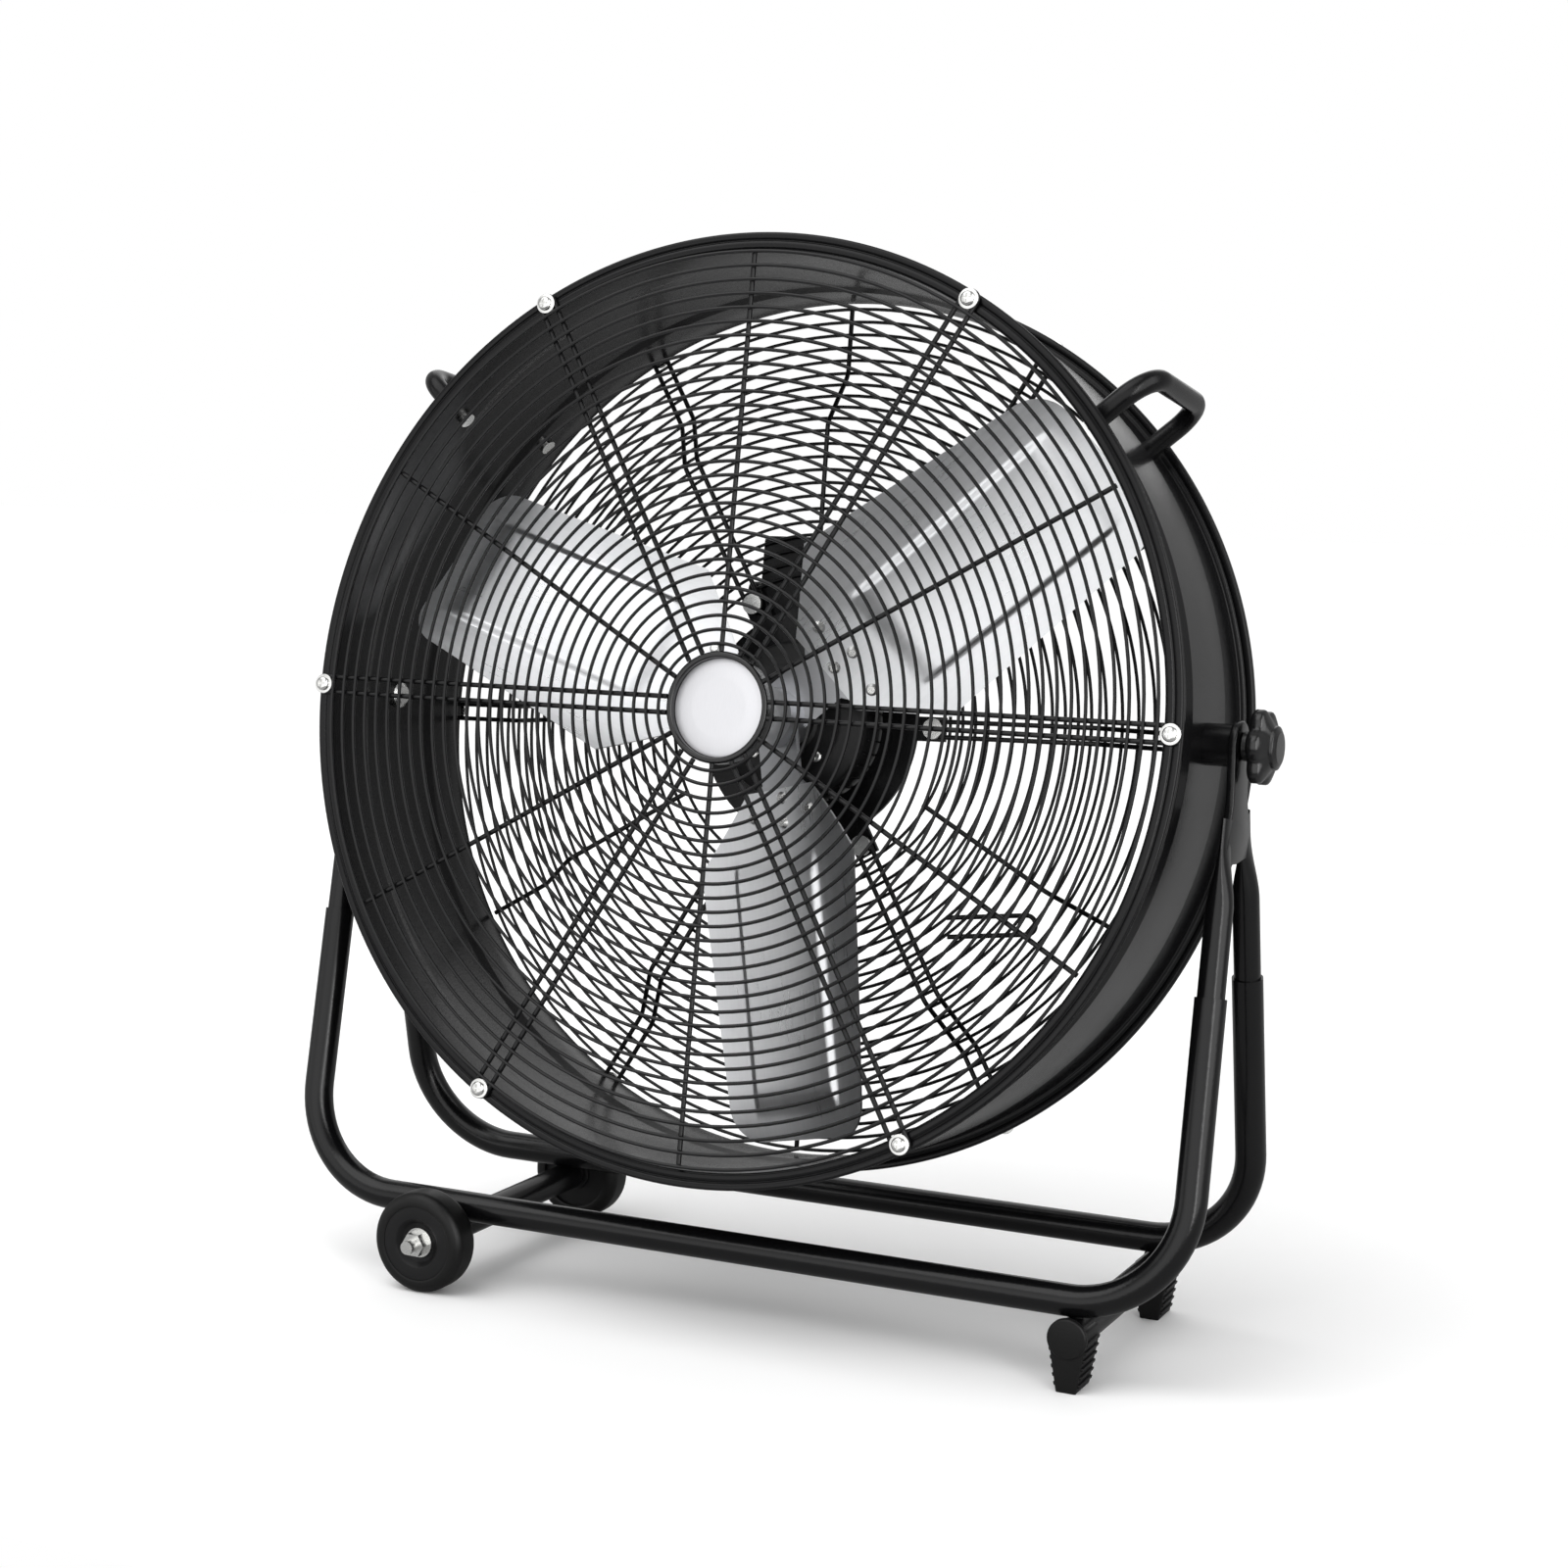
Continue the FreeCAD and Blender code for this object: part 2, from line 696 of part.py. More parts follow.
def make_back_grille():
    """Dished grille: rings behind spoke pairs that close round the motor flange, and single spokes."""
    turn = mm("back_turn_angle")
    rings = []
    for number in range(BACK_RINGS):
        wire = DOC.addObject("Part::Torus", f"back_ring_{number}")
        radius = f"{BACK_FIRST_RING} + {number} * {BACK_PITCH}"
        bind(wire, "Radius1", radius)
        bind(wire, "Radius2", "ring_wire")
        plane, lift = back_spoke_plane(mm(radius))
        upright = Placement(Vector(0, plane + lift, 0), Rotation(X_AXIS, RIGHT_ANGLE))
        wire.Placement = upright
        rings.append(wire)
    rim = mm(SPOKE_PLANE)
    dish = mm(DISH_PLANE)
    end = mm("drum_radius - rim_corner")
    outer = mm(DISH_OUTER)
    inner = mm(DISH_INNER)
    closed = mm("back_opening")
    side = mm("spoke_gap / 2")
    bend = mm("dish_bend")
    loop = mm("spoke_bend")
    profile = [(end, rim), (outer, rim), (inner, dish), (closed, dish)]
    corners = [Vector(radius, plane, -side) for radius, plane in profile]
    corners += [Vector(radius, plane, side) for radius, plane in reversed(profile)]
    path = bent_path(corners, [bend, bend, loop, loop, bend, bend])
    pair = swept("back_pair", path, "spoke_wire")
    pairs = copies("back_pairs", pair, [around(angle) for angle in spoke_angles(0, turn)])
    last_ring = mm(f"{LAST_RING} + ring_wire")
    first_ring = mm(f"{BACK_FIRST_RING} - ring_wire")
    single_profile = [(last_ring, rim), (outer, rim), (inner, dish), (first_ring, dish)]
    points = [Vector(radius, plane, 0) for radius, plane in single_profile]
    single = swept("back_single", bent_path(points, [bend, bend]), "spoke_wire")
    singles = copies("back_singles", single, [around(angle) for angle in spoke_angles(0.5, turn)])
    keep(gathered("back_inner_wires", rings[:BACK_INNER_RINGS]), "rear_inner_rings", DRUM)
    keep(gathered("back_outer_wires", rings[BACK_INNER_RINGS:]), "rear_outer_rings", DRUM)
    keep(gathered("back_spoke_wires", [pairs, singles]), "rear_spokes", DRUM)


def make_cord_hook():
    """Wire loop that leans out from the back grille, for winding a lead on."""
    near = mm(f"{DISH_PLANE} + {RING_LIFT} + ring_wire + spoke_wire")
    far = near + mm("hook_stand_off")
    half = mm("hook_gap / 2")
    reach = mm("hook_length")
    corners = [
        Vector(0, near, -half),
        Vector(reach, far, -half),
        Vector(reach, far, half),
        Vector(0, near, half),
    ]
    hook = swept("hook_wire", bent_path(corners, [mm("hook_bend")] * 2), "spoke_wire")
    down = mm("hook_place_angle")
    place = at(x=HOOK_RADIUS, axis=TOWARDS_FRONT, angle=down + mm("hook_turn_angle"))
    keep(hook, "cord_hook", DRUM * around(-down) * place)


def make_badge():
    """Shallow cup in the middle of the front grille, and the plain disc set in it."""
    front = f"(-{SPOKE_PLANE} - spoke_wire)"
    floor = f"({front} + badge_height - badge_floor)"
    inside = "(badge_radius - badge_rim)"
    cup = turned("badge_cup", [
        ("0", f"{front} + badge_height"),
        ("0", floor),
        (inside, floor),
        (inside, front),
        ("badge_radius", front),
        ("badge_radius", f"{front} + badge_height"),
    ])
    keep(cup, "badge_ring", DRUM)
    face = f"({front} + badge_recess)"
    disc = turned("badge_plate", [
        ("0", floor),
        ("0", face),
        (f"{inside} - fit_gap", face),
        (f"{inside} - fit_gap", floor),
    ])
    keep(disc, "badge_disc", DRUM)


def make_grille_screws():
    """Pan-head screws with washers, round both rims."""
    under_head = "washer_thickness"
    pattern = turned("grille_screw", [
        ("0", f"{under_head} + screw_head_height"),
        ("0", f"{under_head} - screw_length"),
        ("screw_radius", f"{under_head} - screw_length"),
        ("screw_radius", under_head),
        ("screw_head_radius", under_head),
        ("screw_head_radius", f"{under_head} + screw_head_height / 3"),
        ("screw_head_radius * 2 / 3", f"{under_head} + screw_head_height"),
    ])
    washer = turned("grille_washer", [
        ("screw_radius + fit_gap", "0"),
        ("washer_radius", "0"),
        ("washer_radius", "washer_thickness"),
        ("screw_radius + fit_gap", "washer_thickness"),
    ])
    seat = f"({SPOKE_PLANE} + spoke_wire)"
    front = at(x=SCREW_CIRCLE, y=f"-{seat}", axis=Z_AXIS, angle=HALF_TURN)
    back = at(x=SCREW_CIRCLE, y=seat)
    places = [around(angle) * front for angle in spoke_angles(0)]
    places += [around(angle) * back for angle in spoke_angles(0, mm("back_turn_angle"))]
    keep(copies("grille_screw_set", pattern, places), "grille_screws", DRUM)
    keep(copies("grille_washer_set", washer, places), "grille_washers", DRUM)


def make_handles():
    """Bent tube handles on both shoulders of the drum, with plugs and bolts in their legs."""
    half = mm("handle_spacing / 2")
    low = mm(WALL_OUTSIDE)
    high = mm(f"{WALL_OUTSIDE} + handle_rise")
    corners = [Vector(low, -half, 0), Vector(high, -half, 0), Vector(high, half, 0), Vector(low, half, 0)]
    path = bent_path(corners, [mm("handle_bend")] * 2)
    angle_right = mm("handle_angle")
    for label, angle in (("right_handle", angle_right), ("left_handle", HALF_TURN - angle_right)):
        bar = tube(label + "_bar", path, "handle_tube", "handle_wall")
        keep(bar, label, DRUM * around(angle))
    plug = ring("handle_plug", "handle_tube - handle_wall", "handle_bolt_radius + fit_gap", "plug_length")
    seat = f"(sqrt({WALL_INSIDE} ^ 2 - handle_bolt_head_radius ^ 2) - fit_gap)"
    bolt = turned("handle_bolt", [
        ("0", f"{seat} - handle_bolt_head_height"),
        ("handle_bolt_head_radius", f"{seat} - handle_bolt_head_height"),
        ("handle_bolt_head_radius", seat),
        ("handle_bolt_radius", seat),
        ("handle_bolt_radius", f"{WALL_OUTSIDE} + plug_length"),
        ("0", f"{WALL_OUTSIDE} + plug_length"),
    ])
    legs = handle_leg_places()
    keep(copies("handle_plug_set", plug, [leg * at(z=WALL_OUTSIDE) for leg in legs]), "handle_plugs", DRUM)
    along_z = turned_about(X_AXIS, RIGHT_ANGLE)
    keep(copies("handle_bolt_set", bolt, [leg * along_z for leg in legs]), "handle_bolts", DRUM)


def make_pivots():
    """Bolts through the drum wall and spacers that stand the drum off from the yokes."""
    head_base = f"sqrt({BAND_INSIDE} ^ 2 - pivot_head_radius ^ 2)"
    tip = f"({STRAP_OUTSIDE} + knob_boss_length + thread_depth)"
    bolt = turned("pivot_bolt", [
        ("0", f"{head_base} - pivot_head_height"),
        ("pivot_head_radius * 2 / 3", f"{head_base} - pivot_head_height"),
        ("pivot_head_radius", f"{head_base} - pivot_head_height / 2"),
        ("pivot_head_radius", head_base),
        ("pivot_bolt_radius", head_base),
        ("pivot_bolt_radius", tip),
        ("0", tip),
    ])
    outwards = [turned_about(Z_AXIS, -RIGHT_ANGLE), turned_about(Z_AXIS, RIGHT_ANGLE)]
    keep(copies("pivot_bolt_pair", bolt, outwards), "pivot_bolts", DRUM)
    length = f"{STRAP_INSIDE} - running_gap - {WALL_INSIDE}"
    sleeve = ring("spacer_sleeve", "spacer_radius", "pivot_bolt_radius + fit_gap", length)
    wall = rod("spacer_wall", BAND_OUTSIDE, "2 * band_half_width",
               at(y="band_half_width", axis=X_AXIS, angle=RIGHT_ANGLE))
    seated = copies("spacer_seated", sleeve, [turned_about(Y_AXIS, RIGHT_ANGLE) * at(z=WALL_INSIDE)])
    spacer = cut("spacer_saddled", seated, wall)
    keep(copies("spacer_pair", spacer, [HOME, turned_about(Z_AXIS, HALF_TURN)]), "pivot_spacers", DRUM)


def make_clamp_knobs():
    """Lobed knobs on the pivot bolts, each with a round cap, drawn outwards along Y."""
    base = f"({STRAP_OUTSIDE} + running_gap)"
    boss_end = f"({base} + knob_boss_length)"
    top = f"({boss_end} + knob_thickness)"
    bore_end = f"({STRAP_OUTSIDE} + knob_boss_length + thread_depth + running_gap)"
    seat = f"({top} - knob_cap_spigot)"
    bore = "(pivot_bolt_radius + fit_gap)"
    edge = "(knob_thickness / 5)"
    blank = turned("knob_blank", [
        (bore, base),
        ("knob_boss_radius", base),
        ("knob_boss_radius", boss_end),
        (f"knob_radius - {edge}", boss_end),
        ("knob_radius", f"{boss_end} + {edge}"),
        ("knob_radius", f"{top} - knob_face_rise"),
        ("knob_cap_radius", top),
        ("knob_cap_radius - knob_cap_spigot + fit_gap", top),
        ("knob_cap_radius - knob_cap_spigot + fit_gap", seat),
        ("0", seat),
        ("0", bore_end),
        (bore, bore_end),
    ])
    centre = "(knob_radius + knob_scallop_radius - knob_scallop_depth)"
    scallop = rod("knob_scallop", "knob_scallop_radius", "knob_thickness + 2 * overrun",
                  at(x=centre, y=f"{boss_end} - overrun", axis=X_AXIS, angle=-RIGHT_ANGLE))
    step = FULL_TURN / KNOB_LOBES
    scallops = copies("knob_scallops", scallop, [around(step * number) for number in range(KNOB_LOBES)])
    lobed = cut("knob_lobed", blank, scallops)
    cap = turned("knob_cap", [
        ("0", seat),
        ("knob_cap_radius - knob_cap_spigot", seat),
        ("knob_cap_radius - knob_cap_spigot", top),
        ("knob_cap_radius", top),
        ("knob_cap_radius", f"{top} + knob_cap_height / 3"),
        ("knob_cap_radius * 2 / 3", f"{top} + knob_cap_height"),
        ("0", f"{top} + knob_cap_height"),
    ])
    for side, angle in (("right", -RIGHT_ANGLE), ("left", RIGHT_ANGLE)):
        outwards = turned_about(Z_AXIS, angle)
        keep(copies(side + "_knob_copy", lobed, [outwards]), side + "_clamp_knob", DRUM)
        keep(copies(side + "_cap_copy", cap, [outwards]), side + "_knob_cap", DRUM)


def make_motor():
    """Closed motor on a flange that the back grille's spoke pairs hold."""
    front_seam = "(motor_front + cover_depth)"
    keep(make_sleeve("motor_can", "motor_radius", "motor_radius - motor_wall", front_seam,
                     "motor_back - cover_depth"), "motor_housing", DRUM)
    for label, face, inwards, hole in (
        ("motor_front_cover", "motor_front", "+", "shaft_radius + shaft_clearance"),
        ("motor_rear_cover", "motor_back", "-", "0"),
    ):
        seat = "(bearing_radius + bearing_seat_wall)"
        skirt = "(motor_radius - cover_wall)"
        outline = [
            (hole, face),
            ("cover_face_radius", face),
            ("motor_radius", f"{face} {inwards} cover_taper"),
            ("motor_radius", f"{face} {inwards} cover_depth"),
            (skirt, f"{face} {inwards} cover_depth"),
            (skirt, f"{face} {inwards} (cover_taper + cover_wall / 2)"),
            ("cover_face_radius", f"{face} {inwards} cover_wall"),
            (seat, f"{face} {inwards} cover_wall"),
            (seat, f"{face} {inwards} (cover_wall + bearing_width)"),
            ("bearing_radius", f"{face} {inwards} (cover_wall + bearing_width)"),
            ("bearing_radius", f"{face} {inwards} cover_wall"),
            (hole, f"{face} {inwards} cover_wall"),
        ]
        keep(turned(label + "_bell", outline), label, DRUM)
    bearings = [
        make_sleeve("front_bearing", "bearing_radius", "shaft_radius + fit_gap", "motor_front + cover_wall",
                    "motor_front + cover_wall + bearing_width"),
        make_sleeve("back_bearing", "bearing_radius", "shaft_radius + fit_gap",
                    "motor_back - cover_wall - bearing_width", "motor_back - cover_wall"),
    ]
    keep(gathered("bearing_pair", bearings), "motor_bearings", DRUM)
    core_back = "(core_front + core_length)"
    keep(make_sleeve("stator_stack", "motor_radius - motor_wall", "rotor_radius + air_gap", "core_front",
                     core_back), "stator_core", DRUM)
    windings = [
        make_sleeve("front_winding", "winding_outer", "winding_inner", "core_front - winding_overhang",
                    "core_front"),
        make_sleeve("back_winding", "winding_outer", "winding_inner", core_back,
                    f"{core_back} + winding_overhang"),
    ]
    keep(gathered("winding_pair", windings), "stator_windings", DRUM)
    make_motor_flange()


def make_sleeve(name, outer, inner, start, end):
    """Sleeve about the fan axis between two places along it."""
    return turned(name, [(inner, start), (outer, start), (outer, end), (inner, end)])


def make_motor_flange():
    """Flange round the motor with an ear at each spoke pair, and the screws in the ears."""
    disc = make_sleeve("flange_disc", "flange_radius", "motor_radius", FLANGE_FRONT, FLANGE_BACK)
    ear_end = f"({FLANGE_SCREW_CIRCLE} + flange_ear_tip)"
    ear_start = "(motor_radius + flange_radius) / 2"
    ear = block("flange_ear", f"{ear_end} - {ear_start}", "flange_thickness", "2 * flange_ear_half_width",
                at(x=ear_start, y=FLANGE_FRONT, z="-flange_ear_half_width"))
    turn = mm("back_turn_angle")
    angles = spoke_angles(0, turn)
    ears = copies("flange_ears", ear, [around(angle) for angle in angles])
    hole = rod("flange_hole", "flange_screw_radius + fit_gap", "flange_thickness + 2 * overrun",
               at(x=FLANGE_SCREW_CIRCLE, y=f"{FLANGE_FRONT} - overrun", axis=X_AXIS, angle=-RIGHT_ANGLE))
    holes = copies("flange_holes", hole, [around(angle) for angle in angles])
    plate = joined("flange_plate", [disc, ears])
    keep(cut("flange_drilled", plate, holes), "motor_flange", DRUM)
    under_head = f"({DISH_PLANE} - spoke_wire)"
    screw = turned("flange_screw", [
        ("0", f"{under_head} - flange_screw_head_height"),
        ("flange_screw_head_radius", f"{under_head} - flange_screw_head_height"),
        ("flange_screw_head_radius", under_head),
        ("flange_screw_radius", under_head),
        ("flange_screw_radius", FLANGE_BACK),
        ("0", FLANGE_BACK),
    ])
    places = [around(angle) * at(x=FLANGE_SCREW_CIRCLE) for angle in angles]
    keep(copies("flange_screw_set", screw, places), "flange_screws", DRUM)


def box_post_places():
    """Corners of the switch box where its cover screws go, at the open back."""
    places = []
    for side in ("-", ""):
        for height in ("box_bottom + box_screw_inset", "box_top - box_screw_inset"):
            places.append(at(x=f"{side}(box_half_width - box_screw_inset)", y=BOX_BACK, z=height))
    return places


def make_switch_box():
    """Box behind the motor flange with its cover, switch, dial, capacitor and gland."""
    outer = block("box_outer", "2 * box_half_width", "box_depth", "box_top - box_bottom",
                  at(x="-box_half_width", y=FLANGE_BACK, z="box_bottom"))
    corner = at(x="-box_half_width + box_wall", y=f"{FLANGE_BACK} + box_wall", z="box_bottom + box_wall")
    inner = block("box_inner", "2 * (box_half_width - box_wall)", "box_depth",
                  "box_top - box_bottom - 2 * box_wall", corner)
    along_y = turned_about(X_AXIS, RIGHT_ANGLE)
    post = rod("box_post", "box_post_radius", "box_depth - box_wall / 2", along_y)
    tray = cut("box_tray", outer, inner)
    posts = copies("box_posts", post, box_post_places())
    shell = joined("box_shell", [tray, posts])
    inward_hole = rod("box_screw_hole", "box_screw_radius + fit_gap", "box_screw_length + 2 * overrun",
                      at(y="overrun + box_cover_thickness") * along_y)
    screw_holes = copies("box_screw_holes", inward_hole, box_post_places())
    gland_place = at(x="-box_half_width", y=f"{FLANGE_BACK} + box_depth / 2", z="gland_height", axis=Y_AXIS,
                     angle=-RIGHT_ANGLE)
    gland_hole = rod("gland_hole", "gland_spigot_radius + fit_gap", "box_wall + 2 * overrun")
    gland_holes = copies("gland_holes", gland_hole, [gland_place * at(z="-box_wall - overrun")])
    keep(cut("box_drilled", shell, gathered("box_holes", [screw_holes, gland_holes])), "switch_box", DRUM)
    lid = block("box_lid", "2 * box_half_width", "box_cover_thickness", "box_top - box_bottom",
                at(x="-box_half_width", y=BOX_BACK, z="box_bottom"))
    shaft_hole = rod("dial_hole", "switch_shaft_radius + fit_gap", "box_cover_thickness + 2 * overrun",
                     at(y=f"{BOX_BACK} - overrun", z="switch_height", axis=X_AXIS, angle=-RIGHT_ANGLE))
    lid_holes = gathered("lid_holes", [copies("lid_screw_holes", inward_hole, box_post_places()), shaft_hole])
    keep(cut("lid_drilled", lid, lid_holes), "switch_box_cover", DRUM)
    screw = turned("box_screw", [
        ("0", "box_cover_thickness + box_screw_head_height"),
        ("0", "box_cover_thickness - box_screw_length"),
        ("box_screw_radius", "box_cover_thickness - box_screw_length"),
        ("box_screw_radius", "box_cover_thickness"),
        ("box_screw_head_radius", "box_cover_thickness"),
        ("box_screw_head_radius", "box_cover_thickness + box_screw_head_height / 3"),
        ("box_screw_head_radius * 2 / 3", "box_cover_thickness + box_screw_head_height"),
    ])
    keep(copies("box_screw_set", screw, box_post_places()), "box_screws", DRUM)
    make_switch()
    make_capacitor()
    make_gland(gland_place)


def make_switch():
    """Rotary switch on the inside of the cover, and the dial on its shaft."""
    corner = at(x="-switch_size / 2", y=f"{BOX_BACK} - switch_depth", z="switch_height - switch_size / 2")
    body = block("switch_body", "switch_size", "switch_depth", "switch_size", corner)
    shaft = rod("switch_shaft", "switch_shaft_radius", "switch_depth / 2 + switch_shaft_length",
                at(y=f"{BOX_BACK} - switch_depth / 2", z="switch_height", axis=X_AXIS, angle=-RIGHT_ANGLE))
    keep(joined("switch_whole", [body, shaft]), "rotary_switch", DRUM)
    start = f"({BOX_BACK} + box_cover_thickness + running_gap)"
    bore = "(switch_shaft_radius + fit_gap)"
    bore_end = f"({BOX_BACK} + switch_shaft_length + running_gap)"
    blank = turned("dial_blank", [
        (bore, start),
        ("dial_radius", start),
        ("dial_radius", f"{start} + dial_base_thickness"),
        ("dial_radius * 0.9", f"{start} + dial_thickness"),
        ("0", f"{start} + dial_thickness"),
        ("0", bore_end),
        (bore, bore_end),
    ])
    side_cut = block("dial_side", "dial_radius", "dial_thickness", "2 * dial_radius",
                     at(x="dial_grip_half_width", y=f"{start} + dial_base_thickness", z="-dial_radius"))
    sides = copies("dial_sides", side_cut, [HOME, turned_about(Y_AXIS, HALF_TURN)])
    keep(cut("dial_gripped", blank, sides), "speed_knob", DRUM * at(z="switch_height"))


def make_capacitor():
    """Run capacitor lying on the floor of the switch box."""
    can = rod("capacitor_can", "capacitor_radius", "capacitor_length",
              at(x="-capacitor_length / 2", y=f"{FLANGE_BACK} + box_depth / 2",
                 z="box_bottom + box_wall + capacitor_radius", axis=Y_AXIS, angle=RIGHT_ANGLE))
    keep(gathered("capacitor_whole", [can]), "capacitor", DRUM)


def make_gland(place):
    """Lead inlet on the side of the switch box, drawn outwards along Z."""
    nut = hexagon("gland_nut", "gland_radius", "gland_length * 0.4")
    dome = rod("gland_dome", "gland_radius * 0.8", "gland_length")
    spigot = rod("gland_spigot", "gland_spigot_radius", "gland_spigot_length", at(z="-gland_spigot_length"))
    bore = rod("gland_hollow", "gland_bore", "gland_length + gland_spigot_length + 2 * overrun",
               at(z="-gland_spigot_length - overrun"))
    whole = joined("gland_solid", [nut, dome, spigot])
    keep(cut("gland_bored", whole, bore), "cable_gland", DRUM * place)


def blade_frames():
    """Frames of the blades: X out along the blade, Z towards the front, turned to the pitch."""
    upright = turned_about(X_AXIS, RIGHT_ANGLE)
    pitch = turned_about(X_AXIS, mm("blade_pitch_angle"))
    step = FULL_TURN / BLADES
    first = mm("blade_first_angle")
    frames = []
    for number in range(BLADES):
        frames.append(around(first + step * number) * at(y="blade_plane") * upright * pitch)
    return frames


def camber_frame(along, across):
    """Frame on a blade's front face, with Z square to the face and towards the front."""
    lean = math.asin(mm(across) / mm("blade_camber_radius"))
    swing = turned_about(X_AXIS, math.degrees(lean))
    return at(z="blade_camber_radius") * swing * at(x=along, z="-blade_camber_radius")


def rivet_frames():
    """Places of the four rivets on a blade's root."""
    middle = "(rivet_inner + rivet_outer) / 2 + rivet_radius"
    spots = [("rivet_inner", "0"), ("rivet_outer", "0"), (middle, "rivet_side"), (middle, "-rivet_side")]
    return [camber_frame(along, across) for along, across in spots]


def cambered(name, outline, near, far):
    """Curved sheet with a given outline, between two radii about the blade's camber axis."""
    prism = padded(name + "_outline", "XY_Plane", outline, "blade_block_height")
    prism.Placement = at(z="-blade_block_height / 2")
    length = f"{BLADE_TIP} + 2 * overrun"
    place = at(x="-overrun", z="blade_camber_radius", axis=Y_AXIS, angle=RIGHT_ANGLE)
    outside = rod(name + "_far", far, length, place)
    inside = rod(name + "_near", near, length, place)
    return common(name, prism, cut(name + "_shell", outside, inside))


def make_rotor():
    """Shaft, rotor core, spider with three arms, blades, rivets and the nut that holds them."""
    hole = rod("rivet_hole", "rivet_radius + fit_gap", "4 * overrun + blade_thickness + arm_thickness",
               at(z="-2 * overrun - blade_thickness - arm_thickness"))
    holes = copies("rivet_holes", hole, rivet_frames())
    blade_back = "(blade_camber_radius + blade_thickness)"
    blade = cut("blade_drilled", cambered("blade_sheet", [
        ("blade_root", "-blade_root_half_width"),
        ("blade_shoulder", "-blade_lead_half_width"),
        (f"{BLADE_TIP} - blade_tip_corner", "-blade_lead_tip_width"),
        (BLADE_TIP, "-blade_lead_tip_width + blade_tip_corner", "blade_tip_corner", LEFT),
        (BLADE_TIP, "blade_trail_tip_width - blade_tip_corner"),
        (f"{BLADE_TIP} - blade_tip_corner", "blade_trail_tip_width", "blade_tip_corner", LEFT),
        ("blade_shoulder", "blade_trail_half_width"),
        ("blade_root", "blade_root_half_width"),
    ], "blade_camber_radius", blade_back), holes)
    arm = cut("arm_drilled", cambered("arm_sheet", [
        ("arm_start", "-arm_neck_half_width"),
        ("arm_neck", "-arm_neck_half_width"),
        ("arm_shoulder", "-arm_half_width"),
        ("arm_end", "-arm_half_width"),
        ("arm_end", "arm_half_width"),
        ("arm_shoulder", "arm_half_width"),
        ("arm_neck", "arm_neck_half_width"),
        ("arm_start", "arm_neck_half_width"),
    ], blade_back, f"{blade_back} + arm_thickness"), holes)
    frames = blade_frames()
    for number, frame in enumerate(frames, start=1):
        keep(copies(f"blade_copy_{number}", blade, [HOME]), f"blade_{number}", DRUM * frame)
    arms = [copies(f"spider_arm_{number}", arm, [frame]) for number, frame in enumerate(frames)]
    boss = make_sleeve("spider_boss", "hub_radius", "shaft_radius", "-hub_front", "hub_back")
    keep(joined("spider_whole", [boss] + arms), "blade_spider", DRUM)
    tail = "-blade_thickness - arm_thickness"
    seat = "(blade_camber_radius - sqrt(blade_camber_radius ^ 2 - rivet_head_radius ^ 2) + fit_gap)"
    rivet = turned("rivet", [
        ("0", f"{tail} - rivet_tail_height"),
        ("rivet_head_radius", f"{tail} - rivet_tail_height"),
        ("rivet_head_radius", tail),
        ("rivet_radius", tail),
        ("rivet_radius", seat),
        ("rivet_head_radius", seat),
        ("rivet_head_radius * 0.6", f"{seat} + rivet_head_height"),
        ("0", f"{seat} + rivet_head_height"),
    ])
    stand = turned_about(X_AXIS, RIGHT_ANGLE)
    spots = [frame * spot * stand for frame in frames for spot in rivet_frames()]
    keep(copies("rivet_set", rivet, spots), "blade_rivets", DRUM)
    shaft_back = "motor_back - cover_wall - fit_gap"
    shaft = turned("shaft_bar", [
        ("0", "-shaft_front"),
        ("shaft_radius", "-shaft_front"),
        ("shaft_radius", shaft_back),
        ("0", shaft_back),
    ])
    keep(shaft, "rotor_shaft", DRUM)
    keep(make_sleeve("rotor_stack", "rotor_radius", "shaft_radius", "core_front", "core_front + core_length"),
         "rotor_core", DRUM)
    nut = hexagon("hub_nut_blank", "hub_nut_radius", "hub_nut_height")
    thread = rod("hub_nut_thread", "shaft_radius", "hub_nut_height + 2 * overrun", at(z="-overrun"))
    keep(cut("hub_nut_bored", nut, thread), "hub_nut",
         DRUM * at(y="-hub_front", axis=X_AXIS, angle=RIGHT_ANGLE))


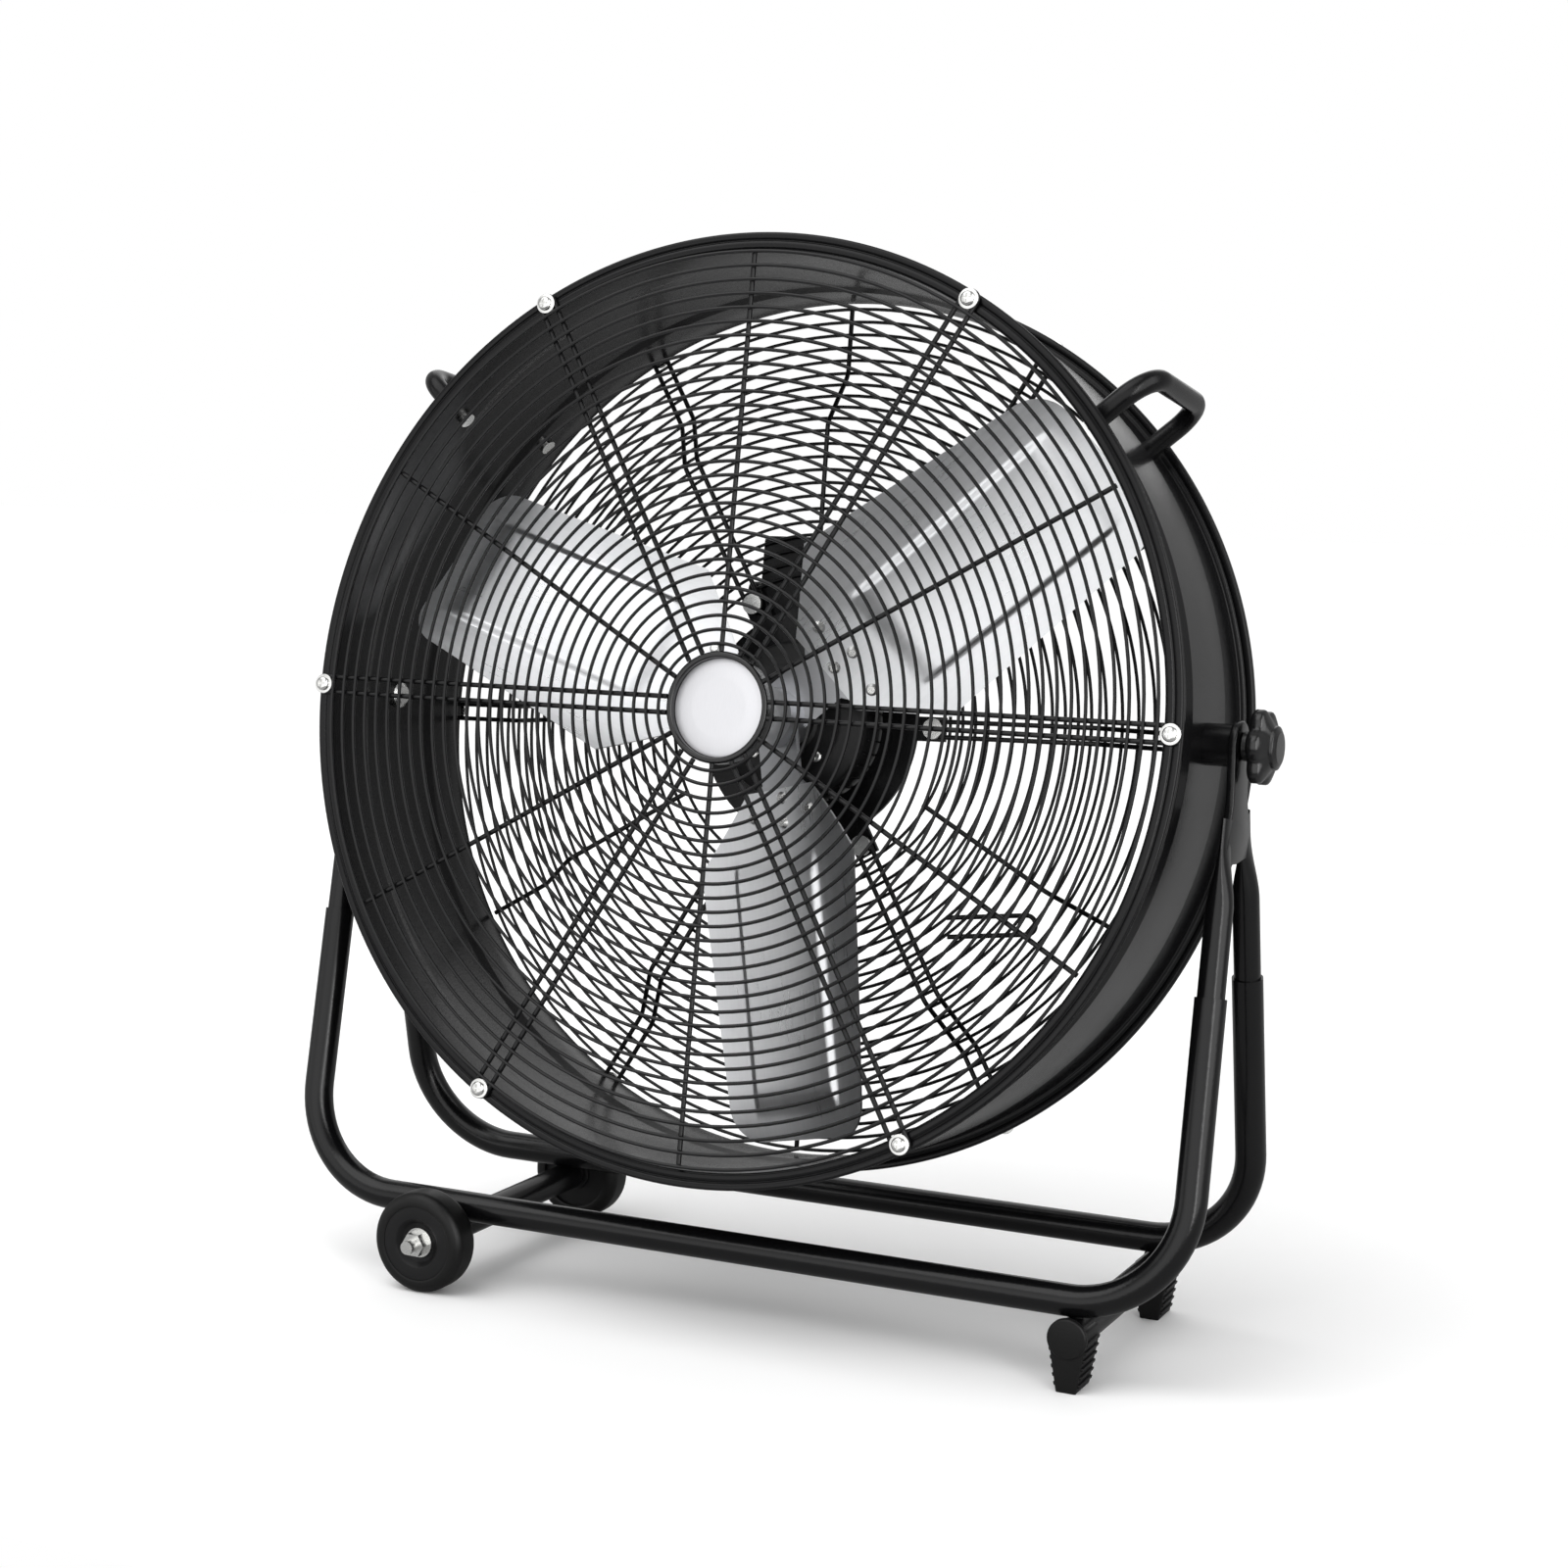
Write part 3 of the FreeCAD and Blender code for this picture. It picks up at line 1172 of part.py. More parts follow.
def make_frame():
    """Two bent tubes, front and back, and the yokes that slip into their legs."""
    top = mm(f"seam_height - {RAIL_HEIGHT}") / math.cos(math.radians(LEAN))
    reach = mm(LEG_REACH)
    corners = [Vector(-reach, 0, top), Vector(-reach, 0, 0), Vector(reach, 0, 0), Vector(reach, 0, top)]
    path = bent_path(corners, [mm(CORNER_BEND)] * 2)
    for label, side, lean in (("front_frame_tube", "-", -LEAN), ("rear_frame_tube", "", LEAN)):
        bar = tube(label + "_bar", path, "tube_radius", "tube_wall")
        keep(bar, label, at(y=f"{side}rail_spread", z=RAIL_HEIGHT, axis=X_AXIS, angle=lean))
    slope = math.cos(math.radians(LEAN))
    radius = "(tube_radius - tube_wall - fit_gap)"
    bottom = top - mm("slip_depth")
    length = mm(f"{STRAP_BOTTOM} + leg_weld - {RAIL_HEIGHT}") / slope - bottom
    solids = []
    bores = []
    for name, side, lean in (("front", "-", -LEAN), ("back", "", LEAN)):
        foot = at(y=f"{side}rail_spread", z=RAIL_HEIGHT, axis=X_AXIS, angle=lean)
        start = foot * Placement(Vector(0, 0, bottom), Rotation())
        end = foot * Placement(Vector(0, 0, bottom + length), Rotation())
        leg = rod(f"yoke_{name}_leg", radius, f"{length}", start)
        hollow = rod(f"yoke_{name}_hollow", f"{radius} - tube_wall", f"{length}", start)
        solids += [leg, ball(f"yoke_{name}_end", radius, end)]
        bores.append(hollow)
    wide = f"({leg_spread(STRAP_BOTTOM)} + {radius})"
    strap = padded("yoke_strap", "YZ_Plane", [
        (f"-{wide}", STRAP_BOTTOM),
        (wide, STRAP_BOTTOM),
        ("strap_half_width", STRAP_NECK),
        ("strap_half_width", PIVOT_HEIGHT),
        ("0", f"{PIVOT_HEIGHT} + strap_half_width", "strap_half_width", LEFT),
        ("-strap_half_width", PIVOT_HEIGHT, "strap_half_width", LEFT),
        ("-strap_half_width", STRAP_NECK),
    ], "strap_thickness")
    strap.Placement = at(x="-strap_thickness / 2")
    inner_side = at(x="-strap_thickness / 2 - overrun", z=PIVOT_HEIGHT, axis=Y_AXIS, angle=RIGHT_ANGLE)
    through = "strap_thickness + 2 * overrun"
    bores.append(rod("yoke_pivot_hole", "pivot_bolt_radius + hole_gap", through, inner_side))
    whole = joined("yoke_whole", solids + [strap])
    yoke = cut("yoke_bored", whole, gathered("yoke_bores", bores))
    for label, side in (("right_yoke", ""), ("left_yoke", "-")):
        keep(copies(label + "_copy", yoke, [HOME]), label, at(x=f"{side}{LEG_REACH}"))


def cross_tube(name, half_length):
    """Tube along Y with a saddle under each rail, drawn about its own middle."""
    along_y = at(y=f"{half_length}", axis=X_AXIS, angle=RIGHT_ANGLE)
    bar = copies(name + "_bar", ring(name + "_sleeve", "tube_radius", "tube_radius - tube_wall",
                                     f"2 * {half_length}"), [along_y])
    lift = "(2 * tube_radius - saddle_depth)"
    rails = []
    for side in ("-", ""):
        place = at(x="-2 * tube_radius", y=f"{side}rail_spread", z=lift, axis=Y_AXIS, angle=RIGHT_ANGLE)
        rails.append(rod(f"{name}_rail_{len(rails)}", "tube_radius", "4 * tube_radius", place))
    return cut(name, bar, gathered(name + "_rails", rails))


def make_wheel_set():
    """Cross tube with the axle, its bushings, washers and nuts, and two wheels."""
    middle = at(x=f"-{WHEEL_REACH}", z="wheel_radius")
    keep(cross_tube("axle_tube", AXLE_TUBE_END), "axle_cross_tube", middle)
    outwards = [turned_about(Z_AXIS, HALF_TURN), HOME]
    inner_face = f"({AXLE_TUBE_END} + bushing_stand_out)"
    wheel_start = f"({inner_face} + running_gap)"
    washer_start = f"({wheel_start} + wheel_width - hub_face_recess + running_gap)"
    nut_start = f"({washer_start} + axle_washer_thickness)"
    axle_end = f"({nut_start} + axle_nut_height + axle_stand_out)"
    axle = rod("axle_bar", "axle_radius", f"2 * {axle_end}")
    keep(axle, "wheel_axle", middle * at(y=axle_end, axis=X_AXIS, angle=RIGHT_ANGLE))
    bushing = make_sleeve("axle_bushing", "tube_radius - tube_wall", "axle_radius + fit_gap",
                          f"{inner_face} - bushing_length", inner_face)
    keep(copies("axle_bushing_pair", bushing, outwards), "axle_bushings", middle)
    washer = make_sleeve("axle_washer", "axle_washer_radius", "axle_radius + fit_gap", washer_start,
                         nut_start)
    keep(copies("axle_washer_pair", washer, outwards), "axle_washers", middle)
    nut_blank = hexagon("axle_nut_blank", "axle_nut_radius", "axle_nut_height")
    thread = rod("axle_nut_thread", "axle_radius + fit_gap", "axle_nut_height + 2 * overrun",
                 at(z="-overrun"))
    nut = cut("axle_nut", nut_blank, thread)
    stand = at(y=nut_start, axis=X_AXIS, angle=-RIGHT_ANGLE)
    keep(copies("axle_nut_pair", nut, [side * stand for side in outwards]), "axle_nuts", middle)
    core = "(wheel_radius - tyre_thickness)"
    tyre = turned("wheel_tyre", [
        (core, "0"),
        ("wheel_radius - wheel_shoulder", "0"),
        ("wheel_radius", "wheel_shoulder", "wheel_shoulder", LEFT),
        ("wheel_radius", "wheel_width - wheel_shoulder"),
        ("wheel_radius - wheel_shoulder", "wheel_width", "wheel_shoulder", LEFT),
        (core, "wheel_width"),
    ])
    bore = "(axle_radius + fit_gap)"
    barrel_end = "(wheel_width - hub_face_recess)"
    hub = turned("wheel_hub", [
        (bore, "0"),
        ("hub_barrel_radius", "0"),
        ("hub_barrel_radius", "hub_web_recess"),
        (core, "hub_web_recess"),
        (core, "wheel_width - hub_web_recess / 2"),
        ("hub_barrel_radius + hub_web_recess", "wheel_width - hub_web_recess / 2"),
        ("hub_barrel_radius", barrel_end),
        (bore, barrel_end),
    ])
    for side, turn in (("front", outwards[0]), ("rear", outwards[1])):
        place = turn * at(y=wheel_start)
        keep(copies(side + "_tyre_copy", tyre, [place]), side + "_wheel_tyre", middle)
        keep(copies(side + "_hub_copy", hub, [place]), side + "_wheel_hub", middle)


def make_feet():
    """Cross tube with a ribbed rubber foot on each end."""
    middle = at(x=FOOT_REACH, z="wheel_radius")
    keep(cross_tube("foot_tube", FOOT_TUBE_END), "foot_cross_tube", middle)
    disc = padded("foot_disc", "XZ_Plane", [
        ("-foot_sole_half_width", "0"),
        ("foot_sole_half_width", "0"),
        ("foot_disc_radius", "wheel_radius"),
        ("0", "wheel_radius + foot_disc_radius", "foot_disc_radius", LEFT),
        ("-foot_disc_radius", "wheel_radius", "foot_disc_radius", LEFT),
    ], "foot_disc_thickness")
    disc.Placement = at(y=f"-{FOOT_DISC_START}")
    body = padded("foot_body", "XZ_Plane", [
        ("-foot_sole_half_width", "0"),
        ("foot_sole_half_width", "0"),
        ("foot_body_half_width", "wheel_radius"),
        ("foot_body_half_width", "foot_body_top"),
        ("-foot_body_half_width", "foot_body_top"),
        ("-foot_body_half_width", "wheel_radius"),
    ], f"{FOOT_DISC_START} - {FOOT_BODY_START}")
    body.Placement = at(y=f"-{FOOT_BODY_START}")
    solids = [disc, body]
    for number in range(FOOT_RIBS):
        height = f"(foot_rib_first + {number} * foot_rib_pitch)"
        flare = f"(foot_body_half_width - foot_sole_half_width) * {height} / wheel_radius"
        half = f"(foot_sole_half_width + {flare} + foot_rib_rise)"
        solids.append(block(f"foot_rib_{number}", f"2 * {half}", f"{FOOT_DISC_START} - {FOOT_BODY_START}",
                            "foot_rib_height", at(x=f"-{half}", y=f"-{FOOT_DISC_START}", z=height)))
    socket = rod("foot_socket", "tube_radius", FOOT_TUBE_END,
                 at(z="wheel_radius", axis=X_AXIS, angle=RIGHT_ANGLE))
    boot = cut("foot_boot", joined("foot_solid", solids), socket)
    for label, angle in (("front_foot", 0.0), ("rear_foot", HALF_TURN)):
        keep(copies(label + "_copy", boot, [turned_about(Z_AXIS, angle)]), label, at(x=FOOT_REACH))


make_frame()
make_wheel_set()
make_feet()
make_drum_shell()
make_front_grille()
make_back_grille()
make_cord_hook()
make_badge()
make_grille_screws()
make_handles()
make_pivots()
make_clamp_knobs()
make_motor()
make_switch_box()
make_rotor()
DOC.recompute()

for item in DOC.Objects:
    if "Invalid" in item.State or "Error" in item.State:
        raise RuntimeError(f"{item.Label} failed: {item.State}")
for item in PIECES:
    if item.Shape.isNull() or not item.Shape.isValid():
        raise RuntimeError(f"{item.Label} has no sound shape")

os.makedirs("parts", exist_ok=True)
for item in PIECES:
    item.Shape.exportStep(f"parts/{item.Label}.step")
print(f"{len(PIECES)} pieces written")
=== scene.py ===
"""Dressed model of a drum fan that tilts between the yokes of a wheeled tube frame.

Sizes are in millimetres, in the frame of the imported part: the floor is z = 0, the tilt axis runs
along X and the back of the fan faces +Y. Pieces of the drum and the rotor are drawn about the
middle of the drum, with the fan axis along Y, and each mesh is put in its place and scaled to
metres when it is finished. An outline is a list of corners with the radius of each.
"""

import json
import logging
import math
from dataclasses import dataclass
from enum import Enum
from typing import Any, Iterable, Sequence

import bmesh
import bpy
from mathutils import Matrix, Vector


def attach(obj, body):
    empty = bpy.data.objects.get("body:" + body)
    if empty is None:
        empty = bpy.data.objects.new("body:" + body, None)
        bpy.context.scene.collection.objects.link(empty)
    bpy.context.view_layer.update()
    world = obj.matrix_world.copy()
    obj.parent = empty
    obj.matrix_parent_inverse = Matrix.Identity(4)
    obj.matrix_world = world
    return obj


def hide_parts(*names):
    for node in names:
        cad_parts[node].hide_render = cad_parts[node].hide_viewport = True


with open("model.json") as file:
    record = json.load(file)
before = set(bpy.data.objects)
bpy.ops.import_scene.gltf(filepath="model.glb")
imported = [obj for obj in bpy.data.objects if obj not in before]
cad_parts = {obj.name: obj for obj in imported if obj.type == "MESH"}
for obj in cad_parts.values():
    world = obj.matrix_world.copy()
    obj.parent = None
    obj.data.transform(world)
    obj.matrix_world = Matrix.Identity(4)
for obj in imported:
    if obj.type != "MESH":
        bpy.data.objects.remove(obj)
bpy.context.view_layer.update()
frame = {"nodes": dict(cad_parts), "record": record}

LOG = logging.getLogger("drum_fan")

MM = 0.001
TILT = 8.5
PIVOT_HEIGHT = 430.0
FULL_TURN = 2 * math.pi
# Corners of a shape that are closer than this are one
WELD = 0.002
# A path that leaves X by less than this runs along it
ALONG = 0.001
# The sum of two noises mostly stays in this range
NOISE_RANGE = {"From Min": 0.6, "From Max": 1.4}
SMOOTHEST = 0.04

Pair = tuple[float, float]
Corner = tuple[float, float, float]
Stud = tuple[Vector, Vector]
Shape = bmesh.types.BMesh
Vert = bmesh.types.BMVert
Tree = bpy.types.NodeTree
Socket = bpy.types.NodeSocket
Source = bpy.types.Node | Socket


def turned(angle: float, axis: str) -> Matrix:
    """Turn by degrees about an axis."""
    return Matrix.Rotation(math.radians(angle), 4, axis)


def around(angle: float) -> Matrix:
    """Turn about the fan axis by degrees, anticlockwise as seen from the front."""
    return turned(-angle, "Y")


def moved(x: float, y: float, z: float) -> Matrix:
    """Move by a distance along each axis."""
    return Matrix.Translation((x, y, z))


FLOOR = Matrix.Scale(MM, 4)
DRUM = FLOOR @ moved(0, 0, PIVOT_HEIGHT) @ turned(-TILT, "X")


class Side(Enum):
    """End of the drum or the base that a piece is on, with its way along Y."""

    FRONT = -1
    BACK = 1

    @property
    def label(self) -> str:
        """Give the word that names of pieces on this end have."""
        return "front" if self is Side.FRONT else "rear"


class Hand(Enum):
    """Side of the fan that a piece is on, as seen from the front, with its way along X."""

    LEFT = -1
    RIGHT = 1

    @property
    def label(self) -> str:
        """Give the word that names of pieces on this side have."""
        return self.name.lower()


class Plane(Enum):
    """Plane of a flat outline, as the numbers of its two axes."""

    XY = (0, 1)
    XZ = (0, 2)
    YZ = (1, 2)


def linear(colour: str) -> tuple[float, float, float, float]:
    """Turn an sRGB hex colour into linear values.

    Args:
        colour: Six hex digits after a hash sign.

    Returns:
        Linear red, green and blue, and full alpha.
    """
    shares = [int(colour[start:start + 2], 16) / 255 for start in (1, 3, 5)]
    values = [s / 12.92 if s <= 0.04045 else ((s + 0.055) / 1.055) ** 2.4 for s in shares]
    return (values[0], values[1], values[2], 1.0)


def smooth(value: float) -> float:
    """Ease a share in and out.

    Args:
        value: Share, which may lie outside 0 to 1.

    Returns:
        The eased share between 0 and 1.
    """
    share = min(max(value, 0.0), 1.0)
    return share * share * (3 - 2 * share)


def add(tree: Tree, kind: str, inputs: dict[Any, Any] | None = None,
        **settings: Any) -> bpy.types.Node:
    """Add a node with its settings, values and links.

    Args:
        tree: Node tree that takes the node.
        kind: Node type.
        inputs: Socket name or number to a value, to the output socket that feeds it, or to a node
            whose first output feeds it.
        settings: Properties of the node itself.

    Returns:
        The new node.
    """
    node = tree.nodes.new(kind)
    for name, value in settings.items():
        setattr(node, name, value)
    for key, value in (inputs or {}).items():
        if isinstance(value, bpy.types.Node):
            value = value.outputs[0]
        if isinstance(value, Socket):
            tree.links.new(value, node.inputs[key])
        else:
            node.inputs[key].default_value = value
    return node


def emptied(owner: bpy.types.Material | bpy.types.World) -> Tree:
    """Clear the node tree of a new material or world.

    Args:
        owner: Material or world.

    Returns:
        Its tree, with no nodes.
    """
    owner.use_nodes = True
    owner.node_tree.nodes.clear()
    return owner.node_tree


def stand(name: str, data: bpy.types.ID) -> bpy.types.Object:
    """Put data into the scene.

    Args:
        name: Name of the object.
        data: Its mesh, curve, lamp or camera.

    Returns:
        The new object.
    """
    made = bpy.data.objects.new(name, data)
    bpy.context.scene.collection.objects.link(made)
    return made


@dataclass(frozen=True)
class Finish:
    """One surface finish: a plain base with a fine grain and a broad unevenness.

    The grain size is the real one in millimetres, or as coarse as it has to be to show.
    """

    name: str
    colour: str
    roughness: float
    metallic: float = 0.0
    specular: float = 0.5
    grain: float = 1.0
    stretch: Corner = (1.0, 1.0, 1.0)
    tone: float = 0.08
    unevenness: float = 0.1
    relief: float = 0.02
    mottle: float = 60.0
    on_uv: bool = False

    def material(self) -> bpy.types.Material:
        """Give the finish's material, made on first use."""
        return bpy.data.materials.get(self.name) or self._build()

    def _build(self) -> bpy.types.Material:
        """Build the node tree of the finish.

        Returns:
            The new material.
        """
        made = bpy.data.materials.new(self.name)
        tree = emptied(made)
        spot = add(tree, "ShaderNodeTexCoord").outputs["UV" if self.on_uv else "Object"]
        drawn = add(tree, "ShaderNodeMapping", {"Vector": spot, "Scale": self.stretch})
        fine = add(tree, "ShaderNodeTexNoise", {
            "Vector": drawn, "Scale": 1 / (self.grain * MM), "Detail": 3.0, "Roughness": 0.6,
        })
        broad = add(tree, "ShaderNodeTexNoise", {
            "Vector": spot, "Scale": 1 / (self.mottle * MM), "Detail": 2.0,
        })
        both = add(tree, "ShaderNodeMath", {0: fine, 1: broad}, operation="ADD")
        rough = add(tree, "ShaderNodeMapRange", {
            "Value": both, **NOISE_RANGE,
            "To Min": max(self.roughness - self.unevenness / 2, SMOOTHEST),
            "To Max": min(self.roughness + self.unevenness / 2, 1.0),
        })
        base = linear(self.colour)[:3]
        dark = tuple(c * (1 - self.tone) for c in base) + (1.0,)
        light = tuple(min(c * (1 + self.tone), 1.0) for c in base) + (1.0,)
        share = add(tree, "ShaderNodeMapRange", {"Value": both, **NOISE_RANGE})
        shade = add(tree, "ShaderNodeMix", {"Factor": share, 6: dark, 7: light},
                    data_type="RGBA").outputs[2]
        bump = add(tree, "ShaderNodeBump", {
            "Height": fine, "Strength": self.relief, "Distance": self.grain * MM,
        })
        surface = add(tree, "ShaderNodeBsdfPrincipled", {
            "Base Color": shade, "Roughness": rough, "Metallic": self.metallic,
            "Specular IOR Level": self.specular, "Normal": bump,
        })
        add(tree, "ShaderNodeOutputMaterial", {"Surface": surface})
        return made


# Satin black powder coat: baked polyester with a faint orange peel, which breaks up its highlights
POWDER_COAT = Finish("powder_coated_steel", "#0f0f10", 0.22, specular=0.2, grain=1.6, relief=0.06,
                     tone=0.15)
# Copy of the powder coat for the frame tubes, a shade darker than the drum's as painted shade,
# with a tighter shine
SHADED_TUBE_COAT = Finish("powder_coated_tube", "#0c0c0d", 0.2, specular=0.3, grain=1.8, relief=0.05,
                   tone=0.15)
# The same coat on drawn wire is thinner, and its shine is broader
COATED_WIRE = Finish("powder_coated_wire", "#0f0f10", 0.32, specular=0.3, grain=1.2, relief=0.06,
                     tone=0.12)
# Sprayed motor enamel: flatter than the powder coat and a little dusty
MOTOR_ENAMEL = Finish("sprayed_motor_enamel", "#121213", 0.42, specular=0.3, grain=0.9,
                      relief=0.15, tone=0.2)
# Bright zinc plate: cool silver with a slightly uneven shine from the bath
ZINC_PLATE = Finish("bright_zinc_plate", "#dcdcda", 0.26, metallic=1.0, grain=1.5, tone=0.04,
                    unevenness=0.08, relief=0.01, mottle=20.0)
# Pressed aluminium sheet, mill finish: rolling lines along the blade spread the light across it
MILL_ALUMINIUM = Finish("mill_finish_aluminium", "#e6e7e9", 0.3, metallic=0.95, grain=3.0,
                        stretch=(0.06, 1.0, 1.0), tone=0.05, unevenness=0.1, relief=0.004,
                        mottle=90.0, on_uv=True)
# Cast aluminium spider, tumbled: an even satin grey
TUMBLED_ALUMINIUM = Finish("tumbled_aluminium", "#c4c5c8", 0.42, metallic=1.0, grain=1.0,
                           tone=0.06, relief=0.08)
# Brushed silver disc: fine upright lines
BRUSHED_SILVER = Finish("brushed_silver_plate", "#d4d4d7", 0.4, metallic=0.6, grain=0.7,
                        stretch=(1.0, 1.0, 0.04), tone=0.04, unevenness=0.1, relief=0.02)
# Glossy moulded nylon of the knobs: black, with a faint moulding bloom
MOULDED_NYLON = Finish("moulded_gloss_nylon", "#101011", 0.24, specular=0.5, grain=2.5, tone=0.1,
                       relief=0.03)
# Matt moulded polypropylene: black, with a fine spark-eroded texture
MATT_MOULDING = Finish("spark_textured_polypropylene", "#101011", 0.48, specular=0.25, grain=0.8,
                       tone=0.15, relief=0.2)
# Solid rubber tyre: almost black, dull and slightly dusty
SOLID_RUBBER = Finish("solid_rubber", "#0e0e0e", 0.42, specular=0.25, grain=1.2, tone=0.2,
                      relief=0.1)
# Stacked electrical steel: bluish grey with sheet lines across the axis
CORE_STEEL = Finish("laminated_core_steel", "#6f7276", 0.45, metallic=1.0, grain=0.6,
                    stretch=(0.1, 4.0, 0.1))
# Lacquered copper: warm brown-red strands round the axis
LACQUERED_COPPER = Finish("lacquered_copper", "#b5653a", 0.3, metallic=1.0, grain=0.8,
                          stretch=(1.0, 4.0, 1.0))
# White screen print on the cover: flat ink
SCREEN_INK = Finish("white_screen_ink", "#e8e8e6", 0.5, grain=0.5, tone=0.03)

NODE_FINISHES = {
    "black_powder_coat": POWDER_COAT,
    "black_coated_wire": COATED_WIRE,
    "motor_paint": MOTOR_ENAMEL,
    "zinc_plated_steel": ZINC_PLATE,
    "bare_steel": TUMBLED_ALUMINIUM,
    "core_steel": CORE_STEEL,
    "copper_winding": LACQUERED_COPPER,
    "blade_aluminium": MILL_ALUMINIUM,
    "badge_silver": BRUSHED_SILVER,
    "knob_plastic": MOULDED_NYLON,
    "moulded_nylon": MATT_MOULDING,
    "wheel_tyre": SOLID_RUBBER,
    "wheel_hub": MATT_MOULDING,
    "foot_rubber": SOLID_RUBBER,
}


def dress_nodes() -> None:
    """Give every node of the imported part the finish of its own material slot."""
    for entry in frame["record"]["subparts"]:
        node = frame["nodes"][entry["node"]]
        node.data.materials.clear()
        node.data.materials.append(NODE_FINISHES[entry["material_slot"]].material())


def as_mesh(shape: Shape, name: str) -> bpy.types.Mesh:
    """Turn a shape into a mesh.

    Args:
        shape: Shape, which is used up.
        name: Name of the mesh.

    Returns:
        The mesh.
    """
    mesh = bpy.data.meshes.new(name)
    shape.to_mesh(mesh)
    shape.free()
    return mesh


def place(shape: Shape, name: str, slot: str, stands_for: Sequence[str] = (), body: str = "drum",
          matrix: Matrix = DRUM, sharp: float = 34.0, finish: Finish | None = None) -> None:
    """Finish a shape as a piece of the object: outward faces, shading, place, finish and body.

    Args:
        shape: Shape in millimetres; it is used up.
        name: Name of the piece.
        slot: Material slot of the record that the piece takes its finish from.
        stands_for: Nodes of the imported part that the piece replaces.
        body: Body that carries the piece.
        matrix: Place of the shape in the part's frame.
        sharp: Edges over this angle, in degrees, stay sharp.
        finish: Finish, where it isn't the slot's own.
    """
    bmesh.ops.remove_doubles(shape, verts=shape.verts, dist=WELD)
    bmesh.ops.recalc_face_normals(shape, faces=shape.faces)
    shape.transform(matrix)
    mesh = as_mesh(shape, name)
    mesh.materials.append((finish or NODE_FINISHES[slot]).material())
    mesh.polygons.foreach_set("material_index", [0] * len(mesh.polygons))
    mesh.shade_smooth()
    mesh.set_sharp_from_angle(angle=math.radians(sharp))
    piece = stand(name, mesh)
    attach(piece, body)
    if stands_for:
        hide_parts(*stands_for)
    LOG.info("%s: %d faces on %s", name, len(mesh.polygons), body)


def fillet(before: Vector, here: Vector, after: Vector, radius: float, steps: int) -> list[Vector]:
    """Round one corner with an arc that both of its sides touch.

    Args:
        before: Corner before this one.
        here: Corner that is rounded.
        after: Corner after this one.
        radius: Radius of the arc.
        steps: Edges along the arc.

    Returns:
        Points along the arc.
    """
    back, ahead = (before - here).normalized(), (after - here).normalized()
    half = back.angle(ahead) / 2
    centre = here + (back + ahead).normalized() * (radius / math.sin(half))
    start = here + back * (radius / math.tan(half)) - centre
    axis = back.cross(start).normalized()
    turn = (math.pi - 2 * half) / steps
    return [centre + Matrix.Rotation(turn * step, 3, axis) @ start for step in range(steps + 1)]


def rounded(outline: Sequence[Corner], steps: int = 5) -> list[Pair]:
    """Round the corners of a closed outline.

    Args:
        outline: Corners as x, y and the radius there.
        steps: Edges along each rounded corner.

    Returns:
        Points along the outline.
    """
    corners = [Vector((x, y, 0)) for x, y, _ in outline]
    points: list[Pair] = []
    for index, (x, y, radius) in enumerate(outline):
        if radius > 0:
            after = corners[(index + 1) % len(corners)]
            arc = fillet(corners[index - 1], corners[index], after, radius, steps)
            points += [(point.x, point.y) for point in arc]
        else:
            points.append((x, y))
    return points


def bent(corners: Sequence[Sequence[float]], bends: Sequence[float],
         steps: int = 10) -> list[Vector]:
    """Follow straight runs joined by tangent bends.

    Args:
        corners: Points where the runs meet, with both ends.
        bends: Bend radius at each inner corner.
        steps: Edges along each bend.

    Returns:
        Points along the path.
    """
    points = [Vector(corner) for corner in corners]
    path = [points[0]]
    for before, here, after, bend in zip(points, points[1:], points[2:], bends):
        path += fillet(before, here, after, bend, steps)
    return path + [points[-1]]


def turns(count: int) -> list[float]:
    """Give even turns round a circle, in radians."""
    return [FULL_TURN * step / count for step in range(count)]


def skin(shape: Shape, rings: Sequence[Sequence[Vert]]) -> None:
    """Join rings of corners with faces, which are triangles where a ring is one point.

    Args:
        shape: Shape that holds the corners.
        rings: Rings in order, all of one count.
    """
    for low, high in zip(rings, rings[1:]):
        for step in range(len(low)):
            after = (step + 1) % len(low)
            corners = list(dict.fromkeys((low[step], low[after], high[after], high[step])))
            if len(corners) > 2:
                shape.faces.new(corners)


def lathe(outline: Sequence[Pair], segments: int = 96) -> Shape:
    """Turn a closed outline about Y.

    Args:
        outline: Points as radius and place along Y.
        segments: Steps round the axis.

    Returns:
        The turned shape.
    """
    shape = bmesh.new()
    rings = []
    for radius, along in outline:
        if radius > 0:
            rings.append([shape.verts.new((radius * math.cos(turn), along, radius * math.sin(turn)))
                          for turn in turns(segments)])
        else:
            rings.append([shape.verts.new((0, along, 0))] * segments)
    skin(shape, rings + rings[:1])
    return shape


